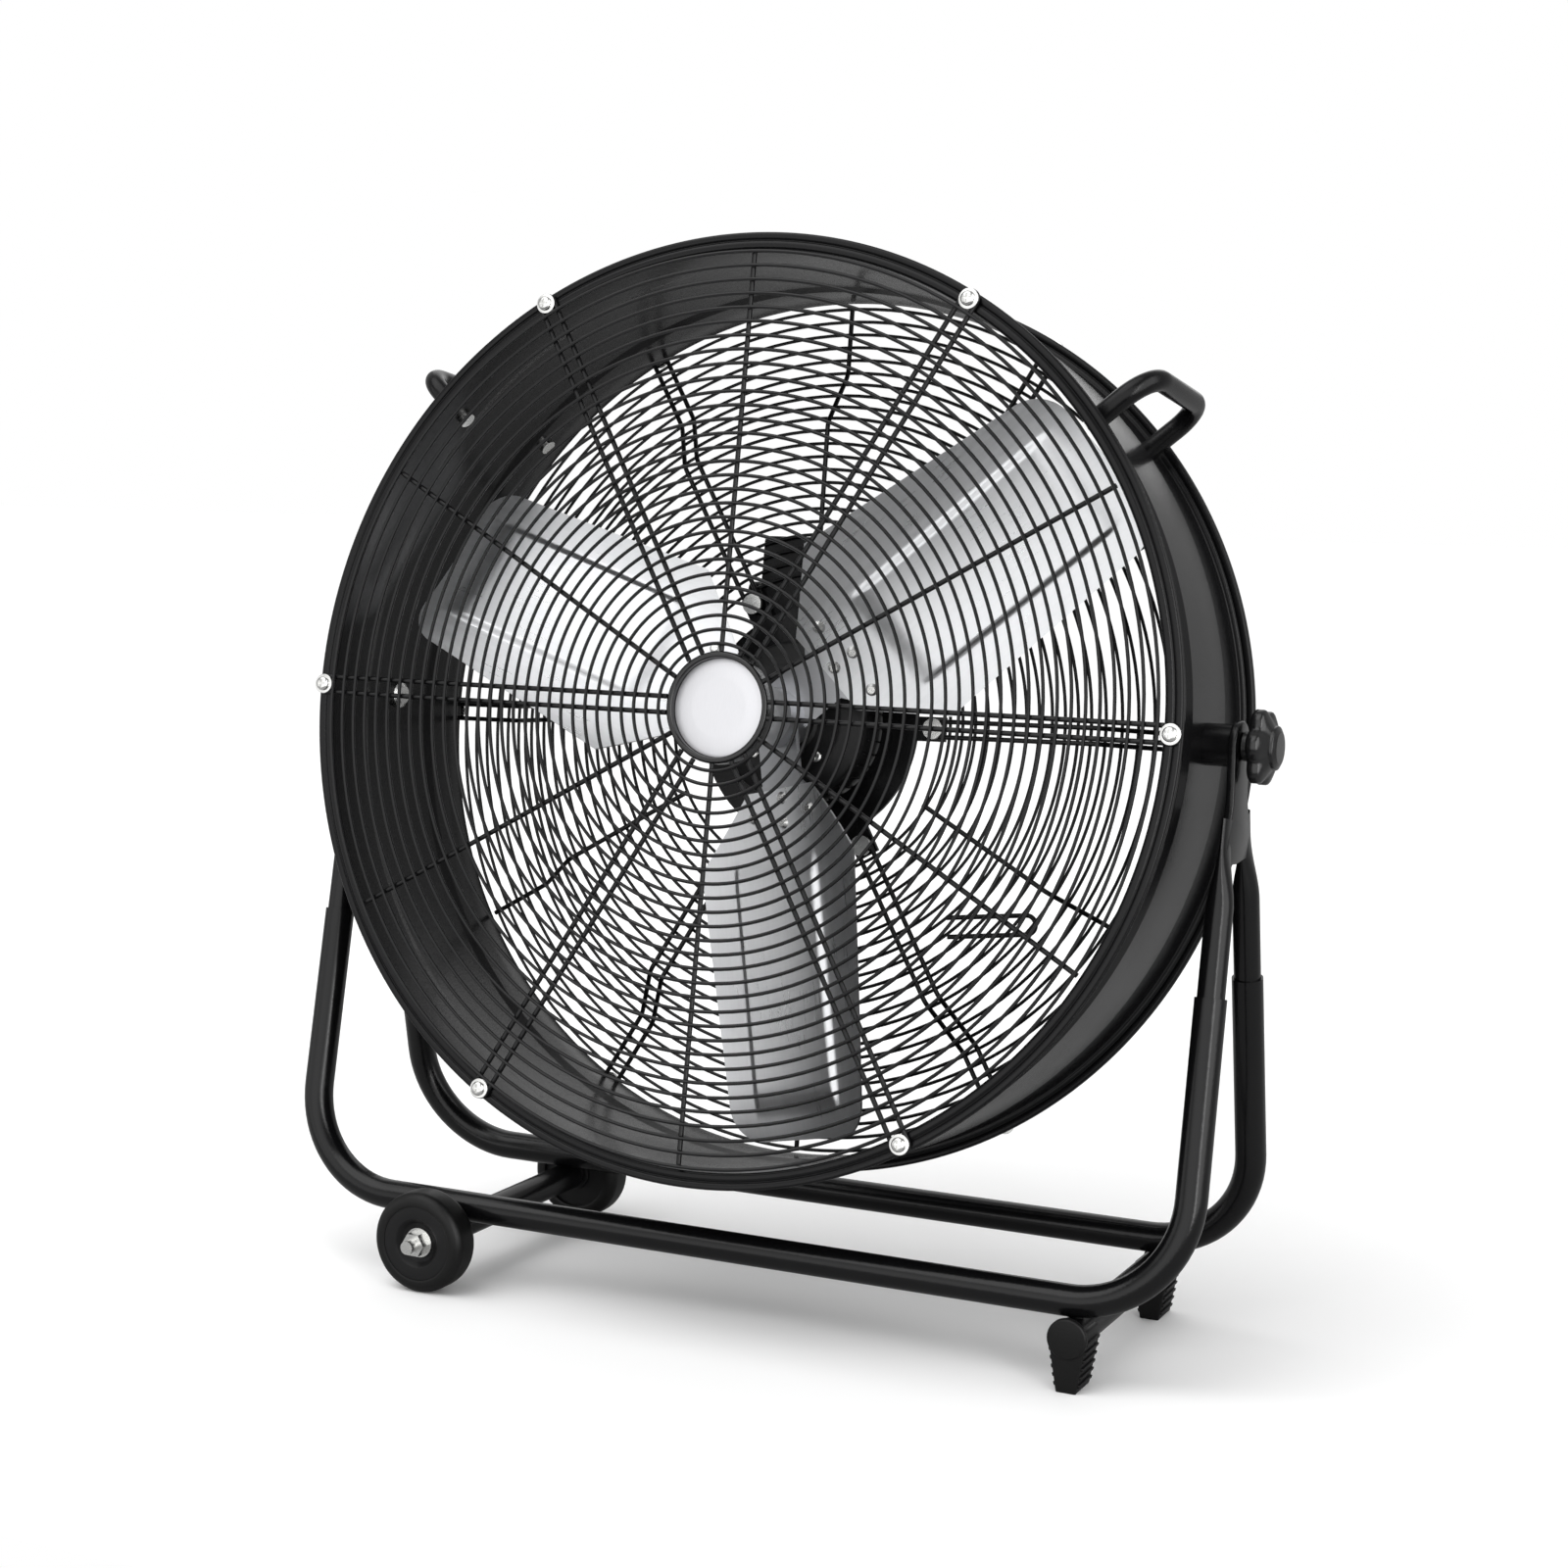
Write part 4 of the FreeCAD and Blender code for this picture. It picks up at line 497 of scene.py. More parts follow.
def sweep(path: Sequence[Vector], radius: float, sides: int = 20,
          widths: Sequence[Pair] | None = None) -> Shape:
    """Sweep a round or oval bar along a path, with closed ends.

    Args:
        path: Points along the middle of the bar.
        radius: Radius of the bar.
        sides: Facets round the bar.
        widths: Half widths at each point, square to the path, where the bar isn't round; the
            first is along X.

    Returns:
        The bar.
    """
    shape = bmesh.new()
    ends = zip([path[0], *path[:-1]], [*path[1:], path[-1]])
    tangents = [(after - before).normalized() for before, after in ends]
    across = Vector((1, 0, 0))
    normal = across - tangents[0] * across.dot(tangents[0])
    if normal.length < ALONG:
        normal = tangents[0].orthogonal()
    normal.normalize()
    rings = []
    for index, (point, tangent) in enumerate(zip(path, tangents)):
        if index:
            normal = tangents[index - 1].rotation_difference(tangent) @ normal
        side = tangent.cross(normal)
        wide, deep = widths[index] if widths else (radius, radius)
        rings.append([
            shape.verts.new(point + normal * wide * math.cos(turn) + side * deep * math.sin(turn))
            for turn in turns(sides)
        ])
    skin(shape, rings)
    shape.faces.new(reversed(rings[0]))
    shape.faces.new(rings[-1])
    return shape


def slab(outline: Sequence[Pair], depth: float, bevel: float = 0.0,
         plane: Plane = Plane.XZ) -> Shape:
    """Thicken a flat outline, with softened edges.

    Args:
        outline: Points of the outline.
        depth: Thickness, from zero along the third axis.
        bevel: Width of the edge rounding.
        plane: Plane of the outline.

    Returns:
        The slab.
    """
    first, second = plane.value
    shape = bmesh.new()
    layers = []
    for level in (0.0, depth):
        layer = []
        for a, b in outline:
            spot = [level] * 3
            spot[first], spot[second] = a, b
            layer.append(shape.verts.new(spot))
        layers.append(layer)
    shape.faces.new(layers[0])
    shape.faces.new(reversed(layers[1]))
    skin(shape, layers)
    bmesh.ops.recalc_face_normals(shape, faces=shape.faces)
    if bevel:
        soften(shape, bevel)
    return shape


def soften(shape: Shape, width: float, angle: float = 40.0, segments: int = 3) -> None:
    """Round every edge of a shape that is sharper than an angle.

    Args:
        shape: Shape to round.
        width: Width of the rounding.
        angle: Smallest angle of an edge that is rounded, in degrees.
        segments: Faces along the rounding.
    """
    edges = [edge for edge in shape.edges if edge.calc_face_angle(0) > math.radians(angle)]
    bmesh.ops.bevel(shape, geom=edges, offset=width, segments=segments, profile=0.5,
                    affect="EDGES", clamp_overlap=True)


def merged(shapes: Iterable[Shape]) -> Shape:
    """Put several shapes together as one.

    Args:
        shapes: Shapes, which are used up.

    Returns:
        One shape that holds them all.
    """
    whole = bmesh.new()
    for part in shapes:
        mesh = as_mesh(part, "part")
        whole.from_mesh(mesh)
        bpy.data.meshes.remove(mesh)
    return whole


def as_object(shape: Shape, name: str) -> bpy.types.Object:
    """Turn a shape into a loose object for a modifier; the shape is used up."""
    bmesh.ops.recalc_face_normals(shape, faces=shape.faces)
    return stand(name, as_mesh(shape, name))


def evaluated(holder: bpy.types.Object) -> Shape:
    """Give an object's final shape, and take its modifiers off.

    Args:
        holder: Object with its modifiers.

    Returns:
        The shape with the modifiers applied.
    """
    depsgraph = bpy.context.evaluated_depsgraph_get()
    mesh = bpy.data.meshes.new_from_object(holder.evaluated_get(depsgraph))
    holder.modifiers.clear()
    shape = bmesh.new()
    shape.from_mesh(mesh)
    bpy.data.meshes.remove(mesh)
    return shape


def new_tree(name: str, **inputs: str) -> tuple[Tree, dict[str, Socket]]:
    """Start a geometry tree with named inputs.

    Args:
        name: Name of the tree.
        inputs: Name of each input, with underscores for spaces, and the kind of its socket.

    Returns:
        The tree, and its input sockets by name.
    """
    tree = bpy.data.node_groups.new(name, "GeometryNodeTree")
    tree.interface.new_socket("Geometry", in_out="OUTPUT", socket_type="NodeSocketGeometry")
    for label, kind in {"Geometry": "Geometry", **inputs, "Finish": "Material"}.items():
        tree.interface.new_socket(label.replace("_", " "), in_out="INPUT",
                                  socket_type=f"NodeSocket{kind}")
    entry = add(tree, "NodeGroupInput")
    return tree, {socket.name: socket for socket in entry.outputs if socket.name}


def end_tree(tree: Tree, geometry: Source, finish: Socket) -> Tree:
    """End a geometry tree: instances made real, and dressed.

    Args:
        tree: Geometry tree.
        geometry: What the tree has made.
        finish: The tree's finish input.

    Returns:
        The tree.
    """
    real = add(tree, "GeometryNodeRealizeInstances", {"Geometry": geometry})
    dressed = add(tree, "GeometryNodeSetMaterial", {"Geometry": real, "Material": finish})
    add(tree, "NodeGroupOutput", {0: dressed})
    return tree


def repeated(tree: Tree, given: dict[str, Socket], points: Source, **turn: Source) -> Tree:
    """End a geometry tree with its piece on every point.

    Args:
        tree: Geometry tree with a piece among its inputs.
        given: The tree's inputs.
        points: Points that take the piece.
        turn: Rotation on each point, where the piece turns.

    Returns:
        The tree.
    """
    piece = add(tree, "GeometryNodeObjectInfo", {"Object": given["Piece"]}).outputs["Geometry"]
    row = add(tree, "GeometryNodeInstanceOnPoints", {"Points": points, "Instance": piece, **turn})
    return end_tree(tree, row, given["Finish"])


def ring_tree() -> Tree:
    """Build the tree for welded grille rings: even pitch, with a dish between two radii.

    Returns:
        The geometry tree.
    """
    tree, given = new_tree(
        "grille_rings", Count="Int", First_Radius="Float", Pitch="Float", Wire_Radius="Float",
        Plane="Float", Dish_Inner="Float", Dish_Outer="Float", Dish_Depth="Float")
    index = add(tree, "GeometryNodeInputIndex")
    radius = add(tree, "ShaderNodeMath", {0: index, 1: given["Pitch"], 2: given["First Radius"]},
                 operation="MULTIPLY_ADD")
    dish = add(tree, "ShaderNodeMapRange", {
        "Value": radius, "From Min": given["Dish Inner"], "From Max": given["Dish Outer"],
        "To Min": 0.0, "To Max": given["Dish Depth"],
    })
    along = add(tree, "ShaderNodeMath", {0: dish, 1: given["Plane"]}, operation="ADD")
    spot = add(tree, "ShaderNodeCombineXYZ", {"Y": along})
    points = add(tree, "GeometryNodePoints", {"Count": given["Count"], "Position": spot})
    circle = add(tree, "GeometryNodeCurvePrimitiveCircle", {"Resolution": 160, "Radius": 1.0})
    upright = add(tree, "GeometryNodeTransform", {
        "Geometry": circle, "Rotation": (math.pi / 2, 0, 0),
    })
    size = add(tree, "ShaderNodeCombineXYZ", {"X": radius, "Y": radius, "Z": radius})
    rings = add(tree, "GeometryNodeInstanceOnPoints", {
        "Points": points, "Instance": upright, "Scale": size,
    })
    real = add(tree, "GeometryNodeRealizeInstances", {"Geometry": rings})
    section = add(tree, "GeometryNodeCurvePrimitiveCircle", {
        "Resolution": 8, "Radius": given["Wire Radius"],
    })
    wire = add(tree, "GeometryNodeCurveToMesh", {"Curve": real, "Profile Curve": section})
    return end_tree(tree, wire, given["Finish"])


def fan_tree() -> Tree:
    """Build the tree that repeats a piece round the fan axis at an even step.

    Returns:
        The geometry tree.
    """
    tree, given = new_tree("round_the_axis", Piece="Object", Count="Int", Start="Float",
                           Step="Float")
    index = add(tree, "GeometryNodeInputIndex")
    angle = add(tree, "ShaderNodeMath", {0: index, 1: given["Step"], 2: given["Start"]},
                operation="MULTIPLY_ADD")
    back = add(tree, "ShaderNodeMath", {0: angle, 1: -1.0}, operation="MULTIPLY")
    euler = add(tree, "ShaderNodeCombineXYZ", {"Y": back})
    turn = add(tree, "FunctionNodeEulerToRotation", {0: euler})
    points = add(tree, "GeometryNodePoints", {"Count": given["Count"]})
    return repeated(tree, given, points, Rotation=turn)


def stud_tree() -> Tree:
    """Build the tree that stands a fastener on each point, along the point's own direction.

    Returns:
        The geometry tree.
    """
    tree, given = new_tree("studs", Piece="Object")
    facing = add(tree, "GeometryNodeInputNamedAttribute", {"Name": "facing"},
                 data_type="FLOAT_VECTOR")
    turn = add(tree, "FunctionNodeAlignRotationToVector", {"Vector": facing}, axis="Z")
    return repeated(tree, given, given["Geometry"], Rotation=turn)


def row_tree() -> Tree:
    """Build the tree that repeats a piece in a straight row.

    Returns:
        The geometry tree.
    """
    tree, given = new_tree("row", Piece="Object", Count="Int", Step="Vector")
    index = add(tree, "GeometryNodeInputIndex")
    spot = add(tree, "ShaderNodeVectorMath", {0: given["Step"], "Scale": index},
               operation="SCALE")
    points = add(tree, "GeometryNodePoints", {"Count": given["Count"], "Position": spot})
    return repeated(tree, given, points)


def grown(tree: Tree, values: dict[str, Any], finish: Finish,
          source: bpy.types.Mesh | None = None) -> Shape:
    """Evaluate a geometry tree and give its result as a plain shape.

    Args:
        tree: Geometry tree.
        values: Value of each named input; a shape is repeated as an object.
        finish: Finish that the tree sets.
        source: Mesh that the tree starts from.

    Returns:
        The resulting shape.
    """
    carrier = stand(tree.name, source or bpy.data.meshes.new(tree.name))
    loose = [carrier]
    modifier = carrier.modifiers.new(tree.name, "NODES")
    modifier.node_group = tree
    given = dict(values, Finish=finish.material())
    for item in tree.interface.items_tree:
        if item.in_out == "INPUT" and item.name in given:
            value = given[item.name]
            if isinstance(value, Shape):
                value = as_object(value, f"{tree.name}_piece")
                loose.append(value)
            modifier[item.identifier] = value
    shape = evaluated(carrier)
    for item in loose:
        bpy.data.objects.remove(item)
    return shape


def studded(piece: Shape, studs: Sequence[Stud]) -> Shape:
    """Stand a zinc plated fastener on each of a set of points.

    Args:
        piece: The fastener, which is used up.
        studs: Place and direction of each.

    Returns:
        All of them as one shape.
    """
    points = bpy.data.meshes.new("stud_points")
    points.from_pydata([spot for spot, _ in studs], [], [])
    facing = points.attributes.new("facing", "FLOAT_VECTOR", "POINT")
    facing.data.foreach_set("vector", [value for _, way in studs for value in way])
    return grown(stud_tree(), {"Piece": piece}, ZINC_PLATE, points)


@dataclass(frozen=True)
class PanHead:
    """Domed screw head with a cross recess, standing on Z = 0."""

    radius: float
    height: float
    slot: float
    # Shares of the radius and the height along the dome
    dome: tuple[Pair, ...] = ((0.0, 0.0), (1.0, 0.0), (1.0, 0.35), (0.9, 0.68), (0.68, 0.9),
                              (0.4, 0.98), (0.0, 1.0))
    cross_reach: float = 0.62
    cross_floor: float = 0.55

    def shape(self) -> Shape:
        """Make the head.

        Returns:
            The head with its recess cut.
        """
        head = lathe([(self.radius * out, self.height * up) for out, up in self.dome], segments=32)
        head.transform(turned(90, "X"))
        blank = as_object(head, "screw_blank")
        reach, half = self.radius * self.cross_reach, self.slot / 2
        arm = [(-reach, -half), (reach, -half), (reach, half), (-reach, half)]
        arms = (arm, [(y, x) for x, y in arm])
        cross = merged(slab(outline, self.height, plane=Plane.XY) for outline in arms)
        cross.transform(moved(0, 0, self.height * self.cross_floor))
        cutter = as_object(cross, "screw_cross")
        cut = blank.modifiers.new("cross", "BOOLEAN")
        cut.object = cutter
        cut.operation = "DIFFERENCE"
        cut.solver = "EXACT"
        cut.use_self = True
        shape = evaluated(blank)
        for item in (blank, cutter):
            bpy.data.objects.remove(item)
        return shape


@dataclass
class DrumShell:
    """Rolled steel drum with two fluted rims and a raised middle band."""

    radius: float = 334.86
    rim_spacing: float = 173.0
    rim_width: float = 7.0
    rim_height: float = 12.36
    rim_corner: float = 1.8
    mouth_corner: float = 2.4
    bead: float = 1.5
    bead_half: float = 1.2
    bead_lip: float = 0.9
    bead_root: float = 0.6
    flute: float = 6.6
    flute_half: float = 1.3
    flute_lip: float = 3.0
    flute_root: float = 0.5
    sheet: float = 1.5
    neck: float = 0.6
    neck_corner: float = 1.0
    band_half: float = 39.0
    shoulder: float = 8.0
    rise: float = 2.5
    bend: float = 4.0

    def outline(self) -> list[Pair]:
        """Give the section through the drum wall.

        Returns:
            Points as radius and place along the axis.
        """
        inner, outer = self.radius - self.rim_height, self.radius
        middle = self.rim_spacing / 2
        face, back = middle + self.rim_width / 2, middle - self.rim_width / 2
        edge = self.band_half + self.shoulder
        near, low, far = (inner + self.flute + step * self.flute_half for step in (-1, 0, 1))
        half: list[Corner] = [
            (inner + self.rise, self.band_half, self.bend),
            (inner, edge, self.bend),
            (inner, face, self.mouth_corner),
            (near, face, self.flute_lip),
            (low, face - self.bead, self.flute_root),
            (far, face, self.flute_lip),
            (outer, face, self.rim_corner),
            (outer, middle + self.bead_half, self.bead_lip),
            (outer - self.bead, middle, self.bead_root),
            (outer, middle - self.bead_half, self.bead_lip),
            (outer, back, self.rim_corner),
            (far, back, self.flute_lip),
            (low, back + self.bead, self.flute_root),
            (near, back, self.flute_lip),
            (inner + self.sheet + self.neck, back, self.neck_corner),
            (inner + self.sheet, edge, self.bend),
            (inner + self.rise + self.sheet, self.band_half, self.bend),
        ]
        return rounded(half + [(r, -y, corner) for r, y, corner in reversed(half)])

    def build(self) -> None:
        """Make the drum skin in place of the shell's solid."""
        place(lathe(self.outline(), segments=288), "drum_skin", "black_powder_coat", ["drum_shell"])


@dataclass
class Grille:
    """Welded wire grille on one end of the drum: rings on spoke pairs and single spokes."""

    side: Side
    rings: int
    pair_span: Pair
    single_span: Pair
    first_ring: int = 0
    first_radius: float = 44.5
    pitch: float = 9.84
    ring_wire: float = 1.3
    spokes: int = 6
    spoke_wire: float = 1.8
    spoke_plane: float = 91.8
    pair_gap: float = 11.4
    pair_bend: float = 5.4
    turn: float = 0.0
    dish_inner: float = 227.0
    dish_outer: float = 269.0
    dish_depth: float = 0.0
    dish_bend: float = 14.0

    def ring_shape(self) -> Shape:
        """Grow the rings on the outer face of the spokes.

        Returns:
            All rings.
        """
        sign = self.side.value
        plane = self.spoke_plane - self.dish_depth + self.spoke_wire + self.ring_wire
        return grown(ring_tree(), {
            "Count": self.rings, "First Radius": self.first_radius + self.first_ring * self.pitch,
            "Pitch": self.pitch, "Wire Radius": self.ring_wire, "Plane": sign * plane,
            "Dish Inner": self.dish_inner, "Dish Outer": self.dish_outer,
            "Dish Depth": sign * self.dish_depth,
        }, COATED_WIRE)

    def spoke_shape(self, span: Pair, gap: float, start: float) -> Shape:
        """Grow one kind of spoke round the axis, flat in front and dished behind.

        Args:
            span: Distances from the axis that the spoke lies between.
            gap: Gap between the wires of a pair, or zero for one wire. A loop joins a pair at the
                rim in front, and at the motor behind.
            start: Turn of the first spoke, in degrees.

        Returns:
            All spokes of this kind.
        """
        (inner, outer), plane = span, self.spoke_plane
        if self.side is Side.FRONT:
            line = [(inner, -plane), (outer, -plane)]
        else:
            dish = plane - self.dish_depth
            line = [(outer, plane), (self.dish_outer, plane), (self.dish_inner, dish),
                    (inner, dish)]
        corners = [(radius, along, -gap / 2) for radius, along in line]
        bends = [self.dish_bend] * (len(line) - 2)
        if gap:
            corners += [(radius, along, gap / 2) for radius, along in reversed(line)]
            bends = bends + [self.pair_bend] * 2 + bends
        wire = sweep(bent(corners, bends, steps=8), self.spoke_wire, sides=12)
        return grown(fan_tree(), {
            "Piece": wire, "Count": self.spokes, "Start": math.radians(start),
            "Step": FULL_TURN / self.spokes,
        }, COATED_WIRE)

    def build(self) -> None:
        """Make the grille in place of its solids."""
        label, between = self.side.label, 180 / self.spokes
        place(self.ring_shape(), f"{label}_wire_rings", "black_coated_wire",
              [f"{label}_inner_rings", f"{label}_outer_rings"])
        pairs = self.spoke_shape(self.pair_span, self.pair_gap, self.turn)
        singles = self.spoke_shape(self.single_span, 0.0, self.turn + between)
        place(merged([pairs, singles]), f"{label}_wire_spokes", "black_coated_wire",
              [f"{label}_spokes"])


@dataclass
class CordHook:
    """Wire loop on the back grille."""

    reach: float = 122.0
    drop: float = 142.0
    length: float = 60.0
    gap: float = 14.0
    lean: float = 24.0
    near: float = 67.2
    turn: float = 7.0
    bend: float = 6.5
    wire: float = 1.8

    def build(self) -> None:
        """Make the hook in place of its solid."""
        half, far = self.gap / 2, self.near + self.lean
        corners = [(0, self.near, -half), (self.length, far, -half), (self.length, far, half),
                   (0, self.near, half)]
        loop = sweep(bent(corners, [self.bend] * 2), self.wire, sides=12)
        place(loop, "cord_hook_wire", "black_coated_wire", ["cord_hook"],
              matrix=DRUM @ moved(self.reach, 0, -self.drop) @ around(self.turn))


@dataclass
class Badge:
    """Round boss in the middle of the front grille, with a plain silver disc."""

    radius: float = 39.5
    rim: float = 4.5
    front: float = -93.6
    height: float = 13.0
    recess: float = 5.0
    floor: float = 3.0
    fit: float = 0.05
    edge: float = 0.4
    crown: float = 0.9
    shoulder: float = 0.7
    shoulder_share: float = 0.6
    shoulder_bend: float = 30.0

    def build(self) -> None:
        """Make the boss and the disc."""
        back = self.front + self.height
        inner, seat, face = self.radius - self.rim, back - self.floor, self.front + self.recess
        boss = rounded([
            (0, back, 0), (self.radius, back, 1.5), (self.radius, self.front, 2.0),
            (inner, self.front, 1.4), (inner, seat, 0), (0, seat, 0),
        ])
        place(lathe(boss), "badge_boss", "knob_plastic", ["badge_ring"])
        disc = rounded([
            (0, seat, 0), (inner - self.fit, seat, 0), (inner - self.fit, face + self.edge, 0.7),
            (inner * self.shoulder_share, face - self.shoulder, self.shoulder_bend),
            (0, face - self.crown, 0),
        ], steps=4)
        place(lathe(disc), "badge_plate", "badge_silver", ["badge_disc"])


@dataclass
class Blades:
    """Three pressed blades with a raised panel, on a riveted spider."""

    count: int = 3
    first_angle: float = 41.0
    pitch: float = 22.0
    plane: float = 2.0
    camber: float = 260.0
    thickness: float = 1.5
    root: float = 52.0
    shoulder: float = 105.0
    tip: float = 306.0
    root_half: float = 34.0
    lead_half: float = 80.0
    lead_taper: float = 6.0
    trail_half: float = 82.0
    trail_taper: float = 22.0
    corner: float = 28.0
    panel_start: float = 98.0
    panel_end: float = 290.0
    panel_low: float = -52.0
    panel_high: float = 33.0
    panel_rise: float = 3.2
    side_ramp: float = 5.0
    end_ramp: float = 22.0
    # Distances from the axis of the mesh's rows, closer together at the creases and the tip
    rows: tuple[float, ...] = (
        52, 58, 64, 72, 80, 88, 95, 98, 101, 103, 105, 107, 109, 111, 113, 116, 119, 122,
        *range(130, 259, 8), 264, 268, 271, 274, 277, 279, 281, 283, 285, 287, 289, 292.5, 296,
        299, 301.5, 303.6, 305, 305.8, 306)
    columns: int = 96

    def limits(self, along: float) -> Pair:
        """Give the two edges of the blade at a distance from the axis.

        Args:
            along: Distance from the axis.

        Returns:
            Offsets of the leading and the trailing edge.
        """
        lead, trail, root = self.lead_half, self.trail_half, self.root_half
        if along <= self.shoulder:
            share = (along - self.root) / (self.shoulder - self.root)
            return (-root - (lead - root) * share, root + (trail - root) * share)
        bend = self.tip - self.corner
        share = min((along - self.shoulder) / (bend - self.shoulder), 1.0)
        over = max(along - bend, 0.0)
        inset = self.corner - math.sqrt(max(self.corner ** 2 - over ** 2, 0.0))
        return (inset + self.lead_taper * share - lead, trail - self.trail_taper * share - inset)

    def height(self, along: float, across: float) -> float:
        """Give the front face's height: the camber and the pressed panel.

        Args:
            along: Distance from the axis.
            across: Offset from the middle line.

        Returns:
            Height towards the front.
        """
        curve = self.camber - math.sqrt(self.camber ** 2 - across ** 2)
        ends = (smooth((along - self.panel_start) / self.end_ramp)
                * smooth((self.panel_end - along) / self.end_ramp))
        sides = (smooth((self.panel_high - across) / self.side_ramp)
                 * smooth((across - self.panel_low) / self.side_ramp))
        return curve + self.panel_rise * ends * sides

    def sheet_shape(self) -> Shape:
        """Make one blade as a thin closed sheet, with a map that follows the rolling direction.

        Returns:
            The blade, out along X and with its front towards Z.
        """
        shape = bmesh.new()
        layer = shape.loops.layers.uv.new("rolling")
        spots: dict[Vert, Pair] = {}
        sheets: list[list[list[Vert]]] = []
        for lift in (0.0, -self.thickness):
            sheet = []
            for along in self.rows:
                low, high = self.limits(along)
                row = []
                for column in range(self.columns + 1):
                    across = low + (high - low) * column / self.columns
                    row.append(shape.verts.new((along, across, self.height(along, across) + lift)))
                    spots[row[-1]] = (along, across)
                sheet.append(row)
            sheets.append(sheet)
        front, back = sheets
        last, end = len(self.rows) - 1, self.columns
        for i in range(last):
            for j in range(end):
                near, far = front[i], front[i + 1]
                shape.faces.new((near[j], far[j], far[j + 1], near[j + 1]))
                near, far = back[i], back[i + 1]
                shape.faces.new((near[j], near[j + 1], far[j + 1], far[j]))
        border = [(i, 0) for i in range(last)] + [(last, j) for j in range(end)]
        border += [(i, end) for i in range(last, 0, -1)] + [(0, j) for j in range(end, 0, -1)]
        for (i, j), (k, m) in zip(border, border[1:] + border[:1]):
            shape.faces.new((front[i][j], back[i][j], back[k][m], front[k][m]))
        for face in shape.faces:
            for loop in face.loops:
                loop[layer].uv = [distance * MM for distance in spots[loop.vert]]
        return shape

    def build(self) -> None:
        """Make the blades in place of their solids."""
        for number in range(1, self.count + 1):
            turn = around(self.first_angle + 360 / self.count * (number - 1))
            spot = DRUM @ turn @ moved(0, self.plane, 0) @ turned(90 + self.pitch, "X")
            place(self.sheet_shape(), f"pressed_blade_{number}", "blade_aluminium",
                  [f"blade_{number}"], body="rotor", matrix=spot, sharp=60)


@dataclass
class Handles:
    """Bent tube handles on both shoulders of the drum."""

    angle: float = 40.0
    half_spacing: float = 60.0
    low: float = 324.0
    rise: float = 49.0
    tube: float = 7.5
    bend: float = 24.0

    def build(self) -> None:
        """Make both handles."""
        high, half = self.low + self.rise, self.half_spacing
        corners = [(self.low, -half, 0), (high, -half, 0), (high, half, 0), (self.low, half, 0)]
        for hand, angle in ((Hand.RIGHT, self.angle), (Hand.LEFT, 180 - self.angle)):
            bar = sweep(bent(corners, [self.bend] * 2, steps=12), self.tube, sides=28)
            place(bar, f"{hand.label}_handle_bar", "black_powder_coat", [f"{hand.label}_handle"],
                  matrix=DRUM @ around(angle))


@dataclass
class ClampKnobs:
    """Lobed knobs that clamp the drum between the yokes."""

    base: float = 351.3
    boss: float = 7.0
    thickness: float = 15.0
    radius: float = 27.0
    face_rise: float = 5.0
    lobes: int = 6
    lobe_depth: float = 5.0
    lobe_power: float = 1.6
    segments: int = 120
    # Height over the base or the top, radius, and share of the lobes' depth
    neck: tuple[Corner, ...] = ((0.0, 9.2, 0.0), (0.8, 10.0, 0.0), (5.5, 10.0, 0.0),
                                (7.0, 12.0, 0.1))
    dish: tuple[Corner, ...] = ((0.0, 14.0, 0.0), (-0.6, 11.0, 0.0), (-0.6, 0.0, 0.0))
    # Height over the lower or the upper edge, inset from the radius, and share of the lobes' depth
    lower_edge: tuple[Corner, ...] = ((0.0, 8.0, 0.5), (0.6, 2.6, 0.9), (1.8, 0.7, 1.0),
                                      (3.0, 0.0, 1.0))
    upper_edge: tuple[Corner, ...] = ((-2.4, 0.0, 1.0), (-1.0, 0.5, 1.0), (0.2, 2.0, 0.95),
                                      (1.6, 5.0, 0.7))
    cap_radius: float = 15.0
    cap_face: float = 11.0
    cap_height: float = 3.5
    cap_wall: float = 1.5
    cap_sink: float = 1.0

    @property
    def top(self) -> float:
        """Give the place of the knob's outer face."""
        return self.base + self.boss + self.thickness

    def knob_shape(self) -> Shape:
        """Make one knob, outwards along Y.

        Returns:
            The knob.
        """
        wide, low, high = self.radius, self.base + self.boss, self.top - self.face_rise
        levels = [(self.base + rise, radius, lobed) for rise, radius, lobed in self.neck]
        for start, edge in ((low, self.lower_edge), (high, self.upper_edge)):
            levels += [(start + rise, wide - inset, lobed) for rise, inset, lobed in edge]
        levels += [(self.top + rise, radius, lobed) for rise, radius, lobed in self.dish]
        shape = bmesh.new()
        rings = []
        for along, radius, lobed in levels:
            ring = []
            for turn in turns(self.segments):
                dip = (0.5 - 0.5 * math.cos(self.lobes * turn)) ** self.lobe_power
                reach = max(radius - self.lobe_depth * lobed * dip, 0.0)
                spot = (reach * math.cos(turn), along, reach * math.sin(turn))
                ring.append(shape.verts.new(spot))
            rings.append(ring)
        skin(shape, rings)
        shape.faces.new(rings[0])
        return shape

    def build(self) -> None:
        """Make both knobs and their caps."""
        foot, wall = self.top - self.cap_sink, self.top + self.cap_wall
        face = self.top + self.cap_height
        cap = rounded([
            (0, foot, 0), (self.cap_radius, foot, 0), (self.cap_radius, wall, 1.0),
            (self.cap_face, face, 2.0), (0, face, 0),
        ])
        for hand in (Hand.RIGHT, Hand.LEFT):
            knob, spot = f"{hand.label}_knob", DRUM @ turned(-90 * hand.value, "Z")
            place(self.knob_shape(), f"{hand.label}_lobed_knob", "knob_plastic",
                  [f"{hand.label}_clamp_knob"], body=knob, matrix=spot)
            place(lathe(cap, segments=64), f"{knob}_button", "knob_plastic", [f"{knob}_cap"],
                  body=knob, matrix=spot)


